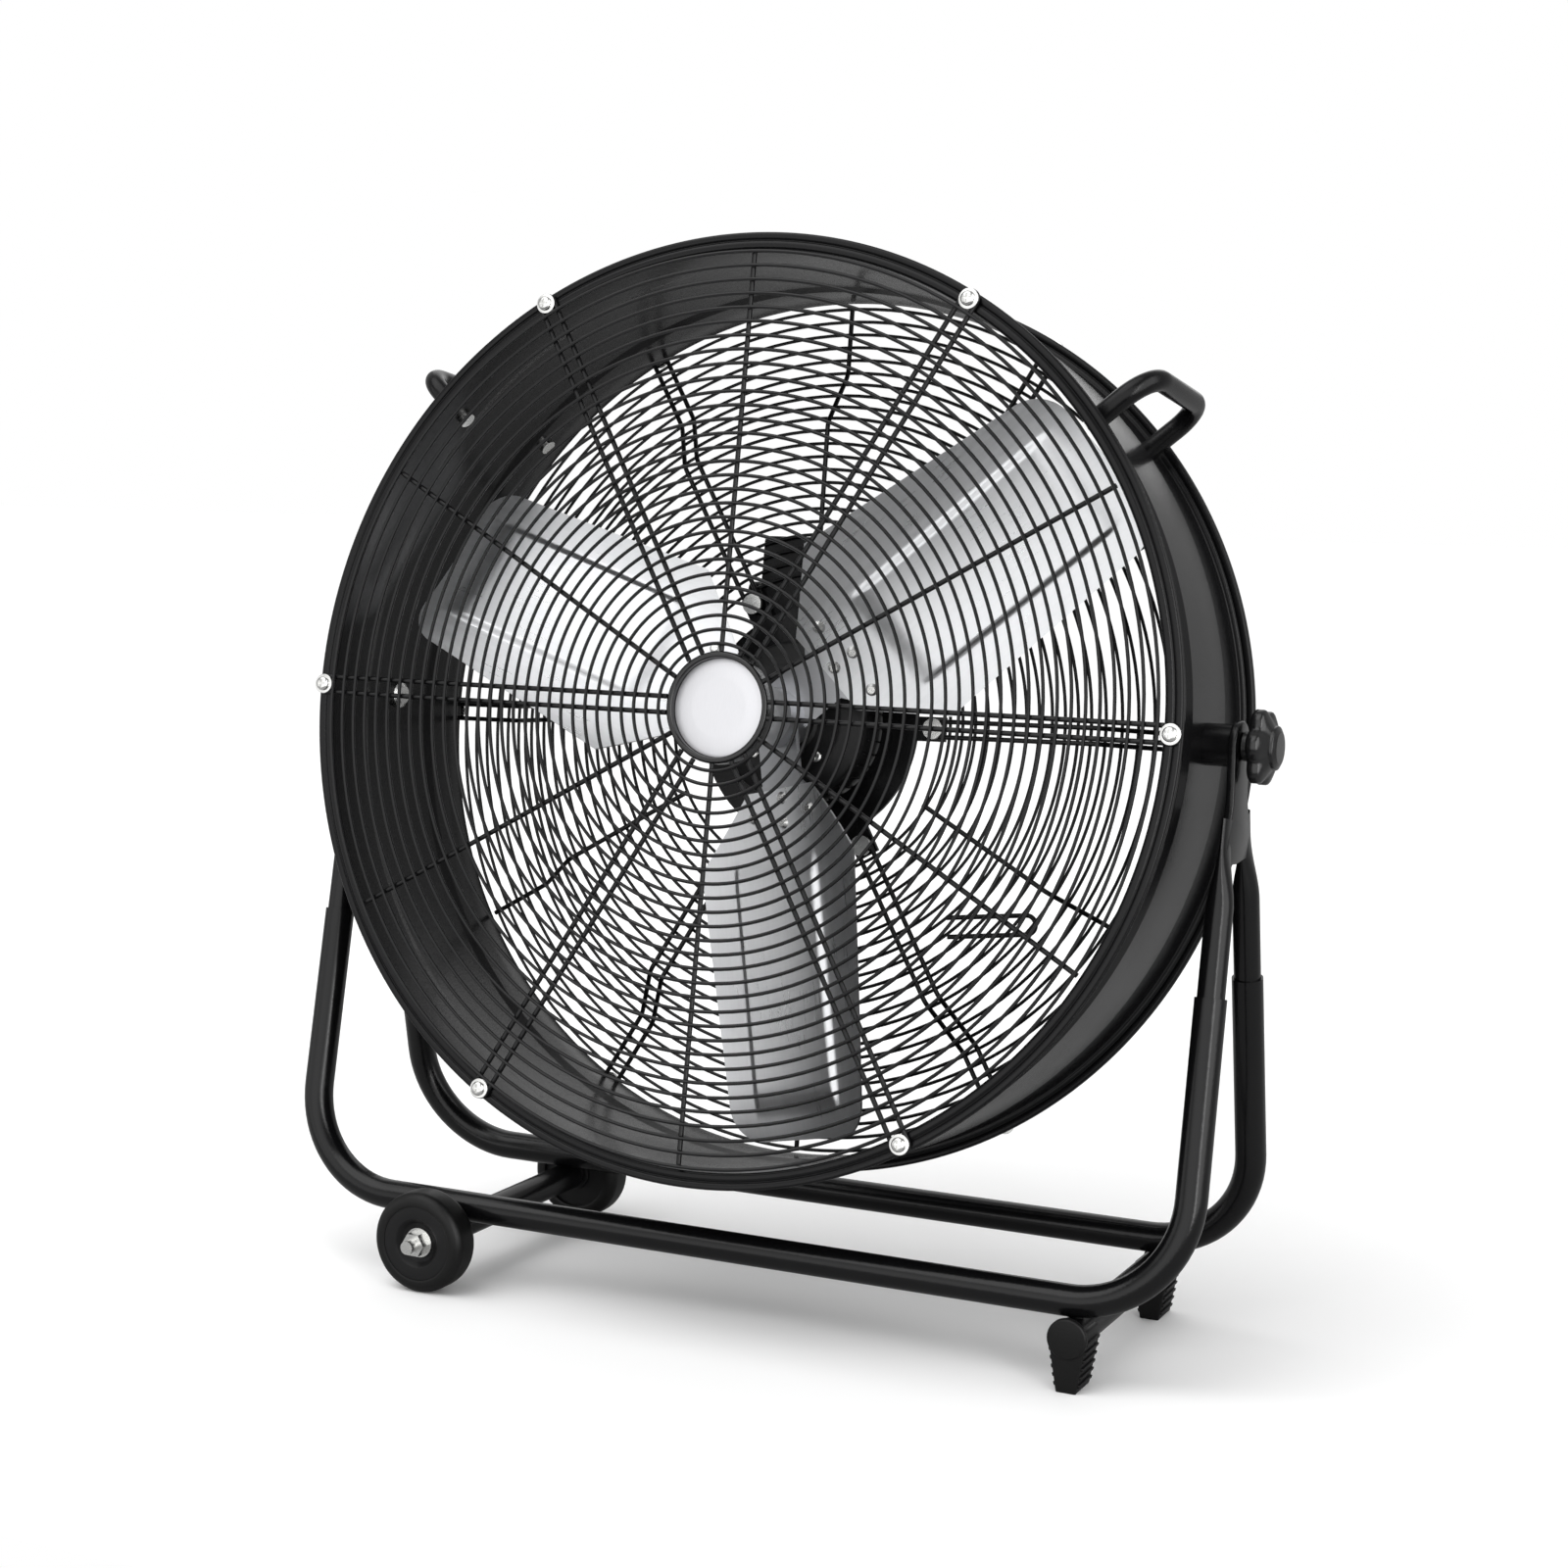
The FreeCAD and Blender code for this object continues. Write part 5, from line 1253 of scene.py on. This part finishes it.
@dataclass
class Motor:
    """Closed motor with pressed covers and through bolts."""

    radius: float = 60.0
    front: float = 24.0
    back: float = 114.0
    wall: float = 2.0
    ribs: int = 36
    rib_rise: float = 1.6
    rib_root: float = 2.2
    rib_width: float = 1.6
    rib_edge: float = 0.5
    rib_end: float = 1.5
    flange: Pair = (62.6, 66.0)
    cover: float = 16.0
    cover_fit: float = 0.4
    cover_wall: float = 3.0
    face: float = 46.0
    face_step: float = 1.6
    face_inset: float = 3.0
    face_inside: float = 4.5
    bell_rise: float = 8.0
    bell_inside: float = 9.5
    boss: float = 22.0
    boss_slope: float = 2.5
    boss_inside: float = 3.0
    shaft_hole: float = 8.0
    bolts: int = 4
    bolt_circle: float = 36.0
    bolt_turn: float = 45.0
    bolt_head: PanHead = PanHead(radius=4.0, height=1.5, slot=1.0)

    def can_shape(self) -> Shape:
        """Make the housing, with ribs on both sides of the flange.

        Returns:
            The housing.
        """
        low, high = self.front + self.cover, self.back - self.cover
        inner, outer = self.radius - self.wall, self.radius - self.rib_rise
        can = rounded([(inner, low, 0), (outer, low, 0.3), (outer, high, 0.3), (inner, high, 0)],
                      steps=3)
        root, fins = self.radius - self.rib_root, []
        near, far = self.flange
        for start, end in ((low + self.rib_end, near), (far, high - self.rib_end)):
            fin = slab([(root, start), (self.radius, start), (self.radius, end), (root, end)],
                       self.rib_width, self.rib_edge, Plane.XY)
            fin.transform(moved(0, 0, -self.rib_width / 2))
            fins.append(fin)
        ring = grown(fan_tree(), {"Piece": merged(fins), "Count": self.ribs, "Start": 0.0,
                                  "Step": FULL_TURN / self.ribs}, MOTOR_ENAMEL)
        return merged([lathe(can, segments=120), ring])

    def bell_shape(self, side: Side) -> Shape:
        """Make the cover on one end.

        Args:
            side: End of the motor.

        Returns:
            The cover.
        """
        edge, hole = (self.front, self.shaft_hole) if side is Side.FRONT else (self.back, 0.0)
        lip, wall = self.radius - self.cover_fit, self.radius - self.cover_wall
        step = self.face_step
        section = [
            (hole, 0, 0), (self.boss, 0, 2.0), (self.boss + self.boss_slope, step, 1.5),
            (self.face - self.face_inset, step, 4.0), (lip, self.bell_rise, 4.0),
            (lip, self.cover, 0.3), (wall, self.cover, 0), (wall, self.bell_inside, 0),
            (self.face, self.face_inside, 0), (hole, self.boss_inside, 0),
        ]
        bell = rounded([(radius, edge - side.value * depth, corner)
                        for radius, depth, corner in section], steps=4)
        return lathe(bell, segments=120)

    def build(self) -> None:
        """Make the housing, and both covers with their bolts."""
        place(self.can_shape(), "motor_can", "motor_paint", ["motor_housing"])
        for side, edge in ((Side.FRONT, self.front), (Side.BACK, self.back)):
            seat = Vector((self.bolt_circle, edge - side.value * self.face_step, 0))
            studs = [(around(self.bolt_turn + 360 / self.bolts * number) @ seat,
                      Vector((0, side.value, 0))) for number in range(self.bolts)]
            place(self.bell_shape(side), f"motor_{side.label}_bell", "motor_paint",
                  [f"motor_{side.label}_cover"])
            place(studded(self.bolt_head.shape(), studs), f"motor_{side.label}_bolts",
                  "zinc_plated_steel")


@dataclass
class SwitchBox:
    """Steel box behind the motor with its cover, dial and print."""

    half_width: float = 51.0
    bottom: float = 64.0
    top: float = 141.0
    corner: float = 4.0
    front: float = 65.8
    back: float = 100.0
    cover: float = 3.0
    cover_fit: float = 0.2
    dial_height: float = 114.0
    dial_radius: float = 17.0
    dial_gap: float = 0.3
    skirt: float = 5.5
    skirt_edge: float = 4.0
    skirt_slope: float = 3.0
    grip: float = 10.0
    grip_sink: float = 0.5
    grip_ends: Pair = (-15.0, 15.6)
    grip_halves: Pair = (3.8, 3.2)
    number_angles: tuple[float, ...] = (90.0, 135.0, 180.0, 225.0)
    number_size: float = 8.0
    number_reach: Pair = (24.0, 20.0)
    number_drop: float = 3.0
    ink: float = 0.04

    def build(self) -> None:
        """Make the box, the cover, the dial and the numbers round it."""
        side, corner = self.half_width, self.corner
        outline = rounded([(-side, self.bottom, corner), (side, self.bottom, corner),
                           (side, self.top, corner), (-side, self.top, corner)], steps=6)
        box = slab(outline, self.back - self.front - self.cover_fit, bevel=1.0)
        place(box, "switch_box_shell", "black_powder_coat", ["switch_box"],
              matrix=DRUM @ moved(0, self.front, 0))
        lid = slab(outline, self.cover, bevel=0.9)
        place(lid, "switch_box_lid", "black_powder_coat", ["switch_box_cover"],
              matrix=DRUM @ moved(0, self.back, 0))
        self.build_dial()
        self.build_print()

    def build_dial(self) -> None:
        """Make the dial: a skirt with a raised grip."""
        start, radius = self.back + self.cover + self.dial_gap, self.dial_radius
        face = start + self.skirt
        skirt = rounded([
            (0, start, 0), (radius, start, 0.4), (radius, start + self.skirt_edge, 1.2),
            (radius - self.skirt_slope, face, 1.0), (0, face, 0),
        ], steps=4)
        (tail, tip), (wide, narrow) = self.grip_ends, self.grip_halves
        grip = slab(rounded([(-wide, tail, 3.0), (wide, tail, 3.0), (narrow, tip, 2.4),
                             (-narrow, tip, 2.4)]), self.grip, bevel=1.0)
        grip.transform(moved(0, face - self.grip_sink, 0))
        place(merged([lathe(skirt, segments=72), grip]), "dial_grip", "knob_plastic",
              ["speed_knob"], body="speed_dial", matrix=DRUM @ moved(0, 0, self.dial_height))

    def build_print(self) -> None:
        """Print the speed numbers round the dial on the cover, as flat ink."""
        plane = self.back + self.cover + self.ink / 2
        wide, high = self.number_reach
        marks = []
        for number, angle in enumerate(self.number_angles):
            text = bpy.data.curves.new("speed_number", "FONT")
            text.body = str(number)
            text.size = self.number_size
            text.align_x = text.align_y = "CENTER"
            text.extrude = self.ink
            writer = stand("speed_number", text)
            mark = evaluated(writer)
            bpy.data.objects.remove(writer)
            way = math.radians(angle)
            up = self.dial_height - self.number_drop + math.sin(way) * high
            spot = moved(-math.cos(way) * wide, plane, up)
            mark.transform(spot @ turned(180, "Z") @ turned(90, "X"))
            marks.append(mark)
        place(merged(marks), "dial_numbers", "black_powder_coat", finish=SCREEN_INK)


@dataclass
class BaseFrame:
    """Two bent tubes and the yokes that stand in their legs."""

    tube: float = 11.0
    wall: float = 1.5
    fit: float = 0.05
    bend: float = 77.0
    reach: float = 348.0
    spread: float = 87.0
    apex: float = 10.0
    rail_height: float = 58.5
    seam_height: float = 265.0
    slip: float = 30.0
    press_start: float = 322.0
    press_length: float = 44.0
    press_step: float = 4.0
    press_gain: float = 1.0
    strap_bottom: float = 352.0
    strap_arch: float = 2.0
    strap_neck: float = 392.0
    strap_half: float = 17.0
    strap_inset: float = 1.0
    strap_thickness: float = 6.0
    neck_bend: float = 26.0

    @property
    def lean(self) -> float:
        """Give the lean of the legs towards the pivot, in radians."""
        return math.atan((self.spread - self.apex) / (PIVOT_HEIGHT - self.rail_height))

    @property
    def leg(self) -> float:
        """Give the radius of a yoke's leg, which slips into the tube."""
        return self.tube - self.wall - self.fit

    def leg_y(self, height: float) -> float:
        """Give the distance of a leg from the middle plane at a height."""
        return self.spread - (height - self.rail_height) * math.tan(self.lean)

    def build(self) -> None:
        """Make both tubes and both yokes."""
        top = (self.seam_height - self.rail_height) / math.cos(self.lean)
        reach = self.reach
        corners = [(-reach, 0, top), (-reach, 0, 0), (reach, 0, 0), (reach, 0, top)]
        # Tubes and yokes take the tube copy of the powder coat, whose darker colour is painted
        # shade
        for side in Side:
            bar = sweep(bent(corners, [self.bend] * 2, steps=20), self.tube, sides=32)
            soften(bar, 1.0, angle=60.0, segments=2)
            spot = FLOOR @ moved(0, side.value * self.spread, self.rail_height)
            place(bar, f"{side.label}_bent_tube", "black_powder_coat",
                  [f"{side.label}_frame_tube"], body="base", finish=SHADED_TUBE_COAT,
                  matrix=spot @ Matrix.Rotation(side.value * self.lean, 4, "X"))
        for hand in Hand:
            place(merged([*self.leg_shapes(), self.strap_shape()]), f"{hand.label}_pressed_yoke",
                  "black_powder_coat", [f"{hand.label}_yoke"], body="base", finish=SHADED_TUBE_COAT,
                  matrix=FLOOR @ moved(hand.value * reach, 0, 0))

    def leg_shapes(self) -> list[Shape]:
        """Make the legs of one yoke: round at the tube and pressed flat at the pivot.

        Returns:
            Both legs, about the yoke's middle plane.
        """
        foot = self.seam_height - self.slip * math.cos(self.lean)
        first = self.press_start - self.press_step
        heights = [foot + (first - foot) * step / 6 for step in range(6)]
        heights += [first + self.press_step * step for step in range(17)]
        squeeze, gain = self.strap_thickness / 2 - self.leg, self.press_gain
        presses = [smooth((height - self.press_start) / self.press_length) for height in heights]
        widths = [(self.leg + squeeze * press, self.leg + gain * press) for press in presses]
        return [sweep([Vector((0, side.value * self.leg_y(height), height)) for height in heights],
                      self.leg, 28, widths) for side in Side]

    def strap_shape(self) -> Shape:
        """Make the strap that holds the pivot between the legs of one yoke.

        Returns:
            The strap, about the yoke's middle plane.
        """
        half, neck, bottom = self.strap_half, self.strap_neck, self.strap_bottom
        wide = self.leg_y(bottom) + self.leg - self.strap_inset
        crown = [(half * math.cos(math.pi * step / 20),
                  PIVOT_HEIGHT + half * math.sin(math.pi * step / 20), 0.0) for step in range(21)]
        lower = [(-half, neck, self.neck_bend), (-wide, bottom, 3.0),
                 (0, bottom - self.strap_arch, 6.0), (wide, bottom, 3.0),
                 (half, neck, self.neck_bend)]
        strap = slab(rounded(crown + lower, steps=6), self.strap_thickness, 1.4, Plane.YZ)
        strap.transform(moved(-self.strap_thickness / 2, 0, 0))
        return strap


@dataclass
class WheelSet:
    """Two solid wheels with moulded hubs, on one side of the frame."""

    radius: float = 37.5
    reach: float = 222.0
    width: float = 26.0
    start: float = 103.4
    core: float = 27.5
    lip: float = 1.5
    shoulder: float = 7.0
    bore: float = 5.05
    boss: float = 13.0
    boss_step: float = 3.5
    face: float = 18.0
    face_inset: float = 1.0
    dish: float = 6.0
    dish_wall: float = 14.5
    dish_floor: float = 12.0

    def build(self) -> None:
        """Make both tyres and hubs."""
        width, core, floor = self.width, self.core, self.width - self.dish
        tyre = rounded([
            (core, 0.3, 0), (core + self.lip, 0, 0.5), (self.radius, 0, self.shoulder),
            (self.radius, width, self.shoulder), (core + self.lip, width, 0.5),
            (core, width - 0.3, 0),
        ], steps=8)
        hub = rounded([
            (self.bore, 0, 0), (self.boss, 0, 0.6), (self.boss, self.boss_step, 0.6),
            (core, self.boss_step, 0), (core, width - self.face_inset / 2, 0.4),
            (self.face, width - self.face_inset, 2.0), (self.dish_wall, floor + 1.0, 1.0),
            (self.dish_floor, floor, 0.6), (self.bore, floor, 0),
        ], steps=4)
        for side in Side:
            wheel, spot = f"{side.label}_wheel", FLOOR @ moved(-self.reach, 0, self.radius)
            spot = spot @ turned(180 if side is Side.FRONT else 0, "Z") @ moved(0, self.start, 0)
            place(lathe(tyre, segments=120), f"{side.label}_tyre_tread", "wheel_tyre",
                  [f"{wheel}_tyre"], body=wheel, matrix=spot)
            place(lathe(hub), f"{side.label}_hub_moulding", "wheel_hub", [f"{wheel}_hub"],
                  body=wheel, matrix=spot)


@dataclass
class Feet:
    """Ribbed rubber boots on the ends of the right cross tube."""

    reach: float = 276.0
    sole: float = 7.0
    cap_radius: float = 14.0
    cap_depth: float = 4.0
    axis_height: float = 37.5
    end: float = 107.0
    body_start: float = 76.0
    body_inset: float = 2.0
    body_half: float = 12.5
    body_waist: float = 31.5
    body_top: float = 43.0
    ribs: int = 6
    rib_first: float = 4.0
    rib_pitch: float = 5.8
    rib_height: float = 2.6
    rib_proud: float = 1.2
    rib_slope: float = 0.8
    rib_inset: float = 1.5

    def boot_shape(self) -> Shape:
        """Make one boot on the front end of the tube.

        Returns:
            The boot about the tube's middle.
        """
        end, radius, back = -self.end, self.cap_radius, self.cap_depth - self.end
        cap = lathe(rounded([(0, end, 0), (radius, end, 1.5), (radius, back, 0), (0, back, 0)],
                            steps=4), segments=48)
        cap.transform(moved(0, 0, self.axis_height))
        sole, half, waist, top = self.sole, self.body_half, self.body_waist, self.body_top
        front = end + self.body_inset
        deep = -self.body_start - front
        outline = [(-sole, 0, 1.0), (sole, 0, 1.0), (half, waist, 6.0), (half, top, 3.0),
                   (-half, top, 3.0), (-half, waist, 6.0)]
        body = slab(rounded(outline, steps=4), deep, bevel=1.2)
        body.transform(moved(0, front, 0))
        low, pitch, first = sole + self.rib_proud, self.rib_pitch, self.rib_first
        high = low + self.rib_slope
        rib = slab([(-low, 0.0), (low, 0.0), (high, self.rib_height), (-high, self.rib_height)],
                   deep - 2 * self.rib_inset, bevel=0.7)
        rib.transform(moved(0, front + self.rib_inset, first))
        ribs = grown(row_tree(), {"Piece": rib, "Count": self.ribs, "Step": (0.0, 0.0, pitch)},
                     SOLID_RUBBER)
        for vert in ribs.verts:
            number = min(int((vert.co.z - first + 0.01) // pitch), self.ribs - 1)
            flare = (half - sole) * min((first + number * pitch) / waist, 1.0)
            vert.co.x += math.copysign(flare, vert.co.x)
        return merged([cap, body, ribs])

    def build(self) -> None:
        """Make both boots."""
        for side in Side:
            spot = FLOOR @ moved(self.reach, 0, 0) @ turned(180 if side is Side.BACK else 0, "Z")
            place(self.boot_shape(), f"{side.label}_rubber_boot", "foot_rubber",
                  [f"{side.label}_foot"], body="base", matrix=spot)


@dataclass
class Fasteners:
    """Screws and washers that show: on both rims and on the switch box cover."""

    count: int = 6
    circle: float = 328.75
    back_turn: float = 1.0
    seat: float = 93.6
    washer_bore: float = 2.1
    washer_radius: float = 7.2
    washer_thickness: float = 1.2
    rim_head: PanHead = PanHead(radius=5.2, height=3.4, slot=1.5)
    box_head: PanHead = PanHead(radius=3.4, height=2.2, slot=1.0)
    box_columns: Pair = (-45.0, 45.0)
    box_rows: Pair = (70.0, 135.0)
    box_face: float = 103.0

    def rim_studs(self, lift: float) -> list[Stud]:
        """Give the places of the grille screws.

        Args:
            lift: Height over the spoke wires.

        Returns:
            Place and direction of each screw.
        """
        studs = []
        for side, turn in ((Side.FRONT, 0.0), (Side.BACK, self.back_turn)):
            first = Vector((self.circle, side.value * (self.seat + lift), 0))
            studs += [(around(turn + 360 / self.count * number) @ first, Vector((0, side.value, 0)))
                      for number in range(self.count)]
        return studs

    def build(self) -> None:
        """Make the screw heads and washers."""
        bore, radius, thick = self.washer_bore, self.washer_radius, self.washer_thickness
        ring = lathe(rounded([(bore, 0, 0), (radius, 0, 0.3), (radius, thick, 0.3),
                              (bore, thick, 0)], steps=3), segments=40)
        ring.transform(turned(90, "X"))
        box_studs = [(Vector((x, self.box_face, z)), Vector((0, 1, 0)))
                     for x in self.box_columns for z in self.box_rows]
        for name, node, piece, studs in (
            ("rim_screw_heads", "grille_screws", self.rim_head.shape(), self.rim_studs(thick)),
            ("rim_washers", "grille_washers", ring, self.rim_studs(0.0)),
            ("box_screw_heads", "box_screws", self.box_head.shape(), box_studs),
        ):
            place(studded(piece, studs), name, "zinc_plated_steel", [node])


@dataclass(frozen=True)
class Softbox:
    """Rectangular lamp, with places and sizes in metres and its power in watts."""

    name: str
    spot: Corner
    target: Corner
    size: Pair
    power: float

    def hang(self) -> None:
        """Hang the lamp so that it faces its target."""
        lamp = bpy.data.lights.new(self.name, "AREA")
        lamp.shape = "RECTANGLE"
        lamp.size, lamp.size_y = self.size
        lamp.energy = self.power
        holder = stand(self.name, lamp)
        holder.location = self.spot
        way = Vector(self.target) - Vector(self.spot)
        holder.rotation_euler = way.to_track_quat("-Z", "Y").to_euler()


@dataclass
class Studio:
    """White studio: floor, world, lamps and the camera at the photograph's angle."""

    lens: float = 61.346
    sensor: float = 36.0
    camera_place: Corner = (0.83978, -1.74748, 0.60099)
    camera_turn: Corner = (83.537, -1.1073, 25.529)
    fill: float = 0.8
    back_shade: float = 0.4
    room_shade: float = 0.3
    front_light: float = 1.7
    side_light: float = 3.0
    low_shade: float = 0.1
    floor_front: float = -0.62
    floor_reach: float = 30.0
    floor_colour: str = "#fbfbfb"
    floor_mirrored: str = "#a8a8a8"
    sun_way: Corner = (-0.35, -0.4, 1.0)
    sun_strength: float = 1.0
    sun_spread: float = 60.0
    softboxes: tuple[Softbox, ...] = (
        Softbox("key_softbox", (-0.9, -1.5, 2.7), (0, 0, 0.5), (2.4, 2.4), 15),
        Softbox("left_softbox", (-2.6, -1.5, 0.7), (0, 0, 0.4), (1.8, 1.8), 8),
        Softbox("right_strip", (2.1, -1.75, 0.9), (0.2, 0, 0.4), (0.35, 2.2), 14),
        Softbox("back_softbox", (-0.9, 2.6, 1.9), (0, 0, 0.4), (2.6, 2.6), 14),
    )

    def build(self) -> None:
        """Make the whole studio."""
        self.build_camera()
        self.build_world()
        self.build_floor()
        self.build_sun()
        for softbox in self.softboxes:
            softbox.hang()
        bpy.context.scene.view_settings.view_transform = "Standard"

    def build_camera(self) -> None:
        """Stand the camera where the photograph was taken from."""
        lens = bpy.data.cameras.new("camera")
        lens.lens = self.lens
        lens.sensor_width = self.sensor
        camera = stand("camera", lens)
        camera.location = self.camera_place
        camera.rotation_euler = [math.radians(angle) for angle in self.camera_turn]
        bpy.context.scene.camera = camera

    def build_world(self) -> None:
        """Make the world white to the eye, and in reflections a dim room with brighter walls."""
        world = bpy.data.worlds.new("white_studio")
        tree = emptied(world)
        rays = add(tree, "ShaderNodeLightPath").outputs
        seen: Source = rays["Is Camera Ray"]
        for ray in ("Is Glossy Ray", "Is Transmission Ray"):
            seen = add(tree, "ShaderNodeMath", {0: seen, 1: rays[ray]}, operation="MAXIMUM")
        way = add(tree, "ShaderNodeTexCoord").outputs["Generated"]
        parts = add(tree, "ShaderNodeSeparateXYZ", {0: way}).outputs
        # Each row takes over part of the room: an axis, where the change along it starts and
        # ends, and the shades before and after it, of which None is the room so far
        room: Any = None
        for axis, start, end, before, after in (
            ("X", 0.5, 0.7, self.room_shade, self.side_light),
            ("Y", -0.97, -0.6, self.front_light, None),
            ("Z", -0.5, -0.25, self.low_shade, None),
            ("Y", 0.0, 0.35, None, self.back_shade),
        ):
            room = add(tree, "ShaderNodeMapRange", {
                "Value": parts[axis], "From Min": start, "From Max": end,
                "To Min": room if before is None else before,
                "To Max": room if after is None else after,
            }, interpolation_type="SMOOTHSTEP")
        shown = add(tree, "ShaderNodeMath", {0: room, 1: rays["Is Camera Ray"]},
                    operation="MAXIMUM")
        strength = add(tree, "ShaderNodeMix", {"Factor": seen, 2: self.fill, 3: shown})
        light = add(tree, "ShaderNodeBackground", {"Color": (1, 1, 1, 1), "Strength": strength})
        add(tree, "ShaderNodeOutputWorld", {"Surface": light})
        bpy.context.scene.world = world

    def build_floor(self) -> None:
        """Lay a plain white floor that keeps the shadow, and is greyer in reflections."""
        mesh = bpy.data.meshes.new("studio_floor")
        near, far = self.floor_front, self.floor_reach
        mesh.from_pydata([(-far, near, 0), (far, near, 0), (far, far, 0), (-far, far, 0)], [],
                         [(0, 1, 2, 3)])
        paint = bpy.data.materials.new("white_floor_paint")
        tree = emptied(paint)
        mirrored = add(tree, "ShaderNodeLightPath").outputs["Is Glossy Ray"]
        tint = add(tree, "ShaderNodeMix", {
            "Factor": mirrored, 6: linear(self.floor_colour), 7: linear(self.floor_mirrored),
        }, data_type="RGBA").outputs[2]
        matt = add(tree, "ShaderNodeBsdfDiffuse", {"Color": tint})
        add(tree, "ShaderNodeOutputMaterial", {"Surface": matt})
        mesh.materials.append(paint)
        stand("studio_floor", mesh)

    def build_sun(self) -> None:
        """Add soft light from one direction, which is even over the whole floor."""
        lamp = bpy.data.lights.new("daylight", "SUN")
        lamp.energy = self.sun_strength
        lamp.angle = math.radians(self.sun_spread)
        holder = stand("daylight", lamp)
        holder.rotation_euler = Vector(self.sun_way).to_track_quat("Z", "Y").to_euler()


def main() -> None:
    """Build every sub-assembly and the studio in order."""
    logging.basicConfig(level=logging.INFO, format="%(name)s %(message)s")
    dress_nodes()
    for assembly in (
        DrumShell(),
        Grille(Side.FRONT, rings=29, pair_span=(39.5, 334.45), single_span=(39.5, 321.3)),
        Grille(Side.BACK, rings=22, pair_span=(98.0, 332.4), single_span=(112.0, 321.3),
               first_ring=7, turn=1.0, dish_depth=30.8),
        CordHook(), Badge(), Blades(), Handles(), ClampKnobs(), Motor(), SwitchBox(), BaseFrame(),
        WheelSet(), Feet(), Fasteners(), Studio(),
    ):
        assembly.build()


if __name__ == "__main__":
    main()
